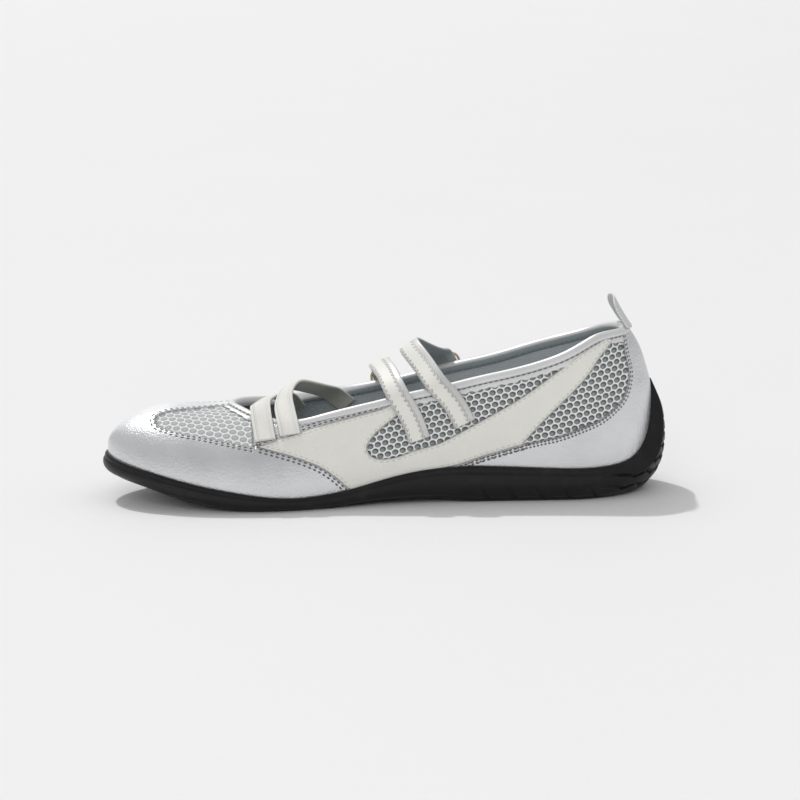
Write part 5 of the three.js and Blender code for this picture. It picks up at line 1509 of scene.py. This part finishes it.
def make_tab(material):
    """Pull tab: two sheets off the heel's skin with rounded corners, closed by rounded edges."""
    columns, rows = 44, 34
    across = np.linspace(-1, 1, columns + 1)
    wide = TAB_HALF_WIDTH * np.sin(across * np.pi / 2)
    narrow = np.sqrt(np.maximum(0, 1 - (wide / TAB_HALF_WIDTH) ** 2))
    top = COLLAR_HEIGHT * (TAB_RISE - 0.09 * (1 - narrow) ** 1.6)
    foot = COLLAR_HEIGHT * (TAB_FOOT + 0.02 * (1 - narrow))
    z = foot[:, None] + (top - foot)[:, None] * np.linspace(0, 1, rows + 1)[None]
    girth = np.arcsin(np.clip((z - SOLE_HEIGHT) / crown_height(np.zeros(1))[0], 0, 1)) / np.pi
    low = np.zeros_like(z)
    high = np.full_like(z, 0.2)
    target = np.abs(wide)[:, None]
    for _ in range(26):
        middle = (low + high) / 2
        short = np.abs(skin(middle, girth)[..., 1]) < target
        low = np.where(short, middle, low)
        high = np.where(short, high, middle)
    turn = np.where(wide[:, None] < 0, low, -low)
    inner = at(turn, girth, TAB_OFF)
    outer = at(turn, girth, TAB_OFF + TAB_THICK)
    middle = at(turn, girth, TAB_OFF + TAB_THICK / 2)
    edge = np.minimum(rows - np.arange(rows + 1), np.arange(rows + 1))[None, :]
    side = np.minimum(columns - np.arange(columns + 1), np.arange(columns + 1))[:, None]
    ease = circle_in((np.minimum(edge, side) + 0.35) / 2.0)[..., None]
    inner = middle + (inner - middle) * ease
    outer = middle + (outer - middle) * ease
    ring = np.concatenate([outer, inner[:, ::-1]], 1)
    width = ring.shape[1]
    faces = [grid_faces(columns + 1, width, 0, around=True)]
    for c in (0, columns):
        strip = np.arange(rows)
        a = c * width + strip
        b = c * width + strip + 1
        far = c * width + width - 1 - strip
        faces.append(np.stack([a, b, far - 1, far], 1)[:, :: (1 if c == 0 else -1)])
    place = np.stack([np.broadcast_to(wide[:, None], z.shape), z, np.zeros_like(z)], -1)
    fields = {"net": np.concatenate([place, place[:, ::-1]], 1).reshape(-1, 3)}
    faces = np.concatenate(faces)
    return build("pull_tab", ring.reshape(-1, 3), faces, fields, material, ("heel_tab",))


upper = make_upper(upper_material())
lining = make_lining(cloth_material(
    "lining_mesh", False, 1.1, (30.0, 2.0), ((192, 200, 202), (208, 213, 214)),
    (0.55, (140, 148, 152)), 0.9, (0.00018, 0.8),
))
sole = make_sole(rubber_material())
insole = make_insole(cloth_material(
    "insole_cloth", True, 1.2, (25.0, 3.0), ((122, 130, 134), (142, 149, 152)),
    (0.4, (90, 97, 102)), 0.9, (0.00015, 0.7),
))
binding = make_binding(binding_material())
strap_look = strap_material()
elastic_look = elastic_material()
metal_look = metal_material()
for end in ("front", "rear"):
    make_ribbon("elastic_band_" + end, LINES["elastic_" + end], ELASTIC_WIDTH, STRAP_THICK, elastic_look,
                "elastic_" + end, crown=0.1)
    make_ribbon("instep_strap_" + end, LINES["strap_" + end], STRAP_WIDTH, STRAP_THICK, strap_look,
                "strap_" + end, crown=0.25)
    make_ribbon("buckle_strap_" + end, LINES["anchor_" + end], STRAP_WIDTH - 1, ANCHOR_THICK, strap_look,
                "anchor_" + end, count=60)
    make_buckle("wire_buckle_" + end, LINES["strap_" + end], metal_look, "buckle_" + end)
tab = make_tab(cloth_material(
    "tab_webbing", False, 1.3, (50.0, 3.0), ((222, 223, 223), (232, 232, 232)),
    (0.25, (150, 152, 155)), 0.7, (0.0002, 0.7),
))


# Floor, light and camera


def make_floor():
    """Flat square of floor, pale and matt."""
    size = 12.0
    mesh = bpy.data.meshes.new("floor")
    corners = [(-size, -size, 0), (size, -size, 0), (size, size, 0), (-size, size, 0)]
    mesh.from_pydata(corners, [], [(0, 1, 2, 3)])
    floor = bpy.data.objects.new("floor", mesh)
    bpy.context.scene.collection.objects.link(floor)
    material, n, shader = new_material("floor_white")
    place = object_place(n)
    tone = n.mix(n.noise(6.0, 3.0, place), srgb(239, 239, 239), srgb(241, 241, 241))
    n.plug(shader.inputs["Base Color"], tone)
    shader.inputs["Roughness"].default_value = 0.8
    n.plug(shader.inputs["Normal"], bump(n, n.noise(300.0, 3.0, place), 0.0004, 0.3))
    mesh.materials.append(material)


make_floor()
scene = bpy.context.scene
scene.view_settings.view_transform = "Standard"
world = bpy.data.worlds.new("studio")
scene.world = world
world.use_nodes = True
sky = world.node_tree.nodes["Background"]
sky.inputs["Color"].default_value = (1.0, 1.0, 1.0, 1.0)
sky.inputs["Strength"].default_value = 0.475


def add_light(name, kind, energy, place, look, size=1.0):
    """White light at a place, aimed at a spot."""
    data = bpy.data.lights.new(name, kind)
    data.energy = energy
    if kind == "AREA":
        data.shape = "SQUARE"
        data.size = size
    lamp = bpy.data.objects.new(name, data)
    scene.collection.objects.link(lamp)
    lamp.location = place
    way = np.array(look) - np.array(place)
    lamp.rotation_mode = "QUATERNION"
    lamp.rotation_quaternion = Vector(way).to_track_quat("-Z", "Y")
    return lamp


sun = add_light("key_sun", "SUN", 1.26, (-0.28, 0.45, 0.86), (0, 0, 0))
sun.data.angle = math.radians(2.0)
add_light("key_softbox", "AREA", 28.0, (-1.77, 2.7, 5.2), (-0.09, 0, 0.03), 2.5)
fill = add_light("front_fill", "AREA", 105.0, (-1.5, -6.0, 3.4), (-0.09, 0, 0.03), 4.0)
fill.visible_glossy = False
add_light("back_card", "AREA", 38.0, (-0.6, 6.0, 1.6), (-0.09, 0, 0.03), 5.0)

camera_data = bpy.data.cameras.new("camera")
camera = bpy.data.objects.new("camera", camera_data)
scene.collection.objects.link(camera)
AZIMUTH, ELEVATION, DISTANCE = math.radians(-5.5), math.radians(11.5), 1.5
FOCAL_PIXELS, PICTURE_WIDTH, SENSOR_WIDTH = 3300.0, 800.0, 36.0
TARGET = np.array([-0.085, 0.0, 0.04205])
back = np.array([
    math.sin(AZIMUTH) * math.cos(ELEVATION), -math.cos(AZIMUTH) * math.cos(ELEVATION), math.sin(ELEVATION),
])
camera.location = Vector(TARGET + back * DISTANCE)
camera.rotation_mode = "QUATERNION"
camera.rotation_quaternion = Vector(-back).to_track_quat("-Z", "Y")
camera_data.sensor_width = SENSOR_WIDTH
camera_data.lens = FOCAL_PIXELS * SENSOR_WIDTH / PICTURE_WIDTH
camera_data.clip_start = 0.05
camera_data.clip_end = 60.0
scene.camera = camera

bpy.context.view_layer.update()
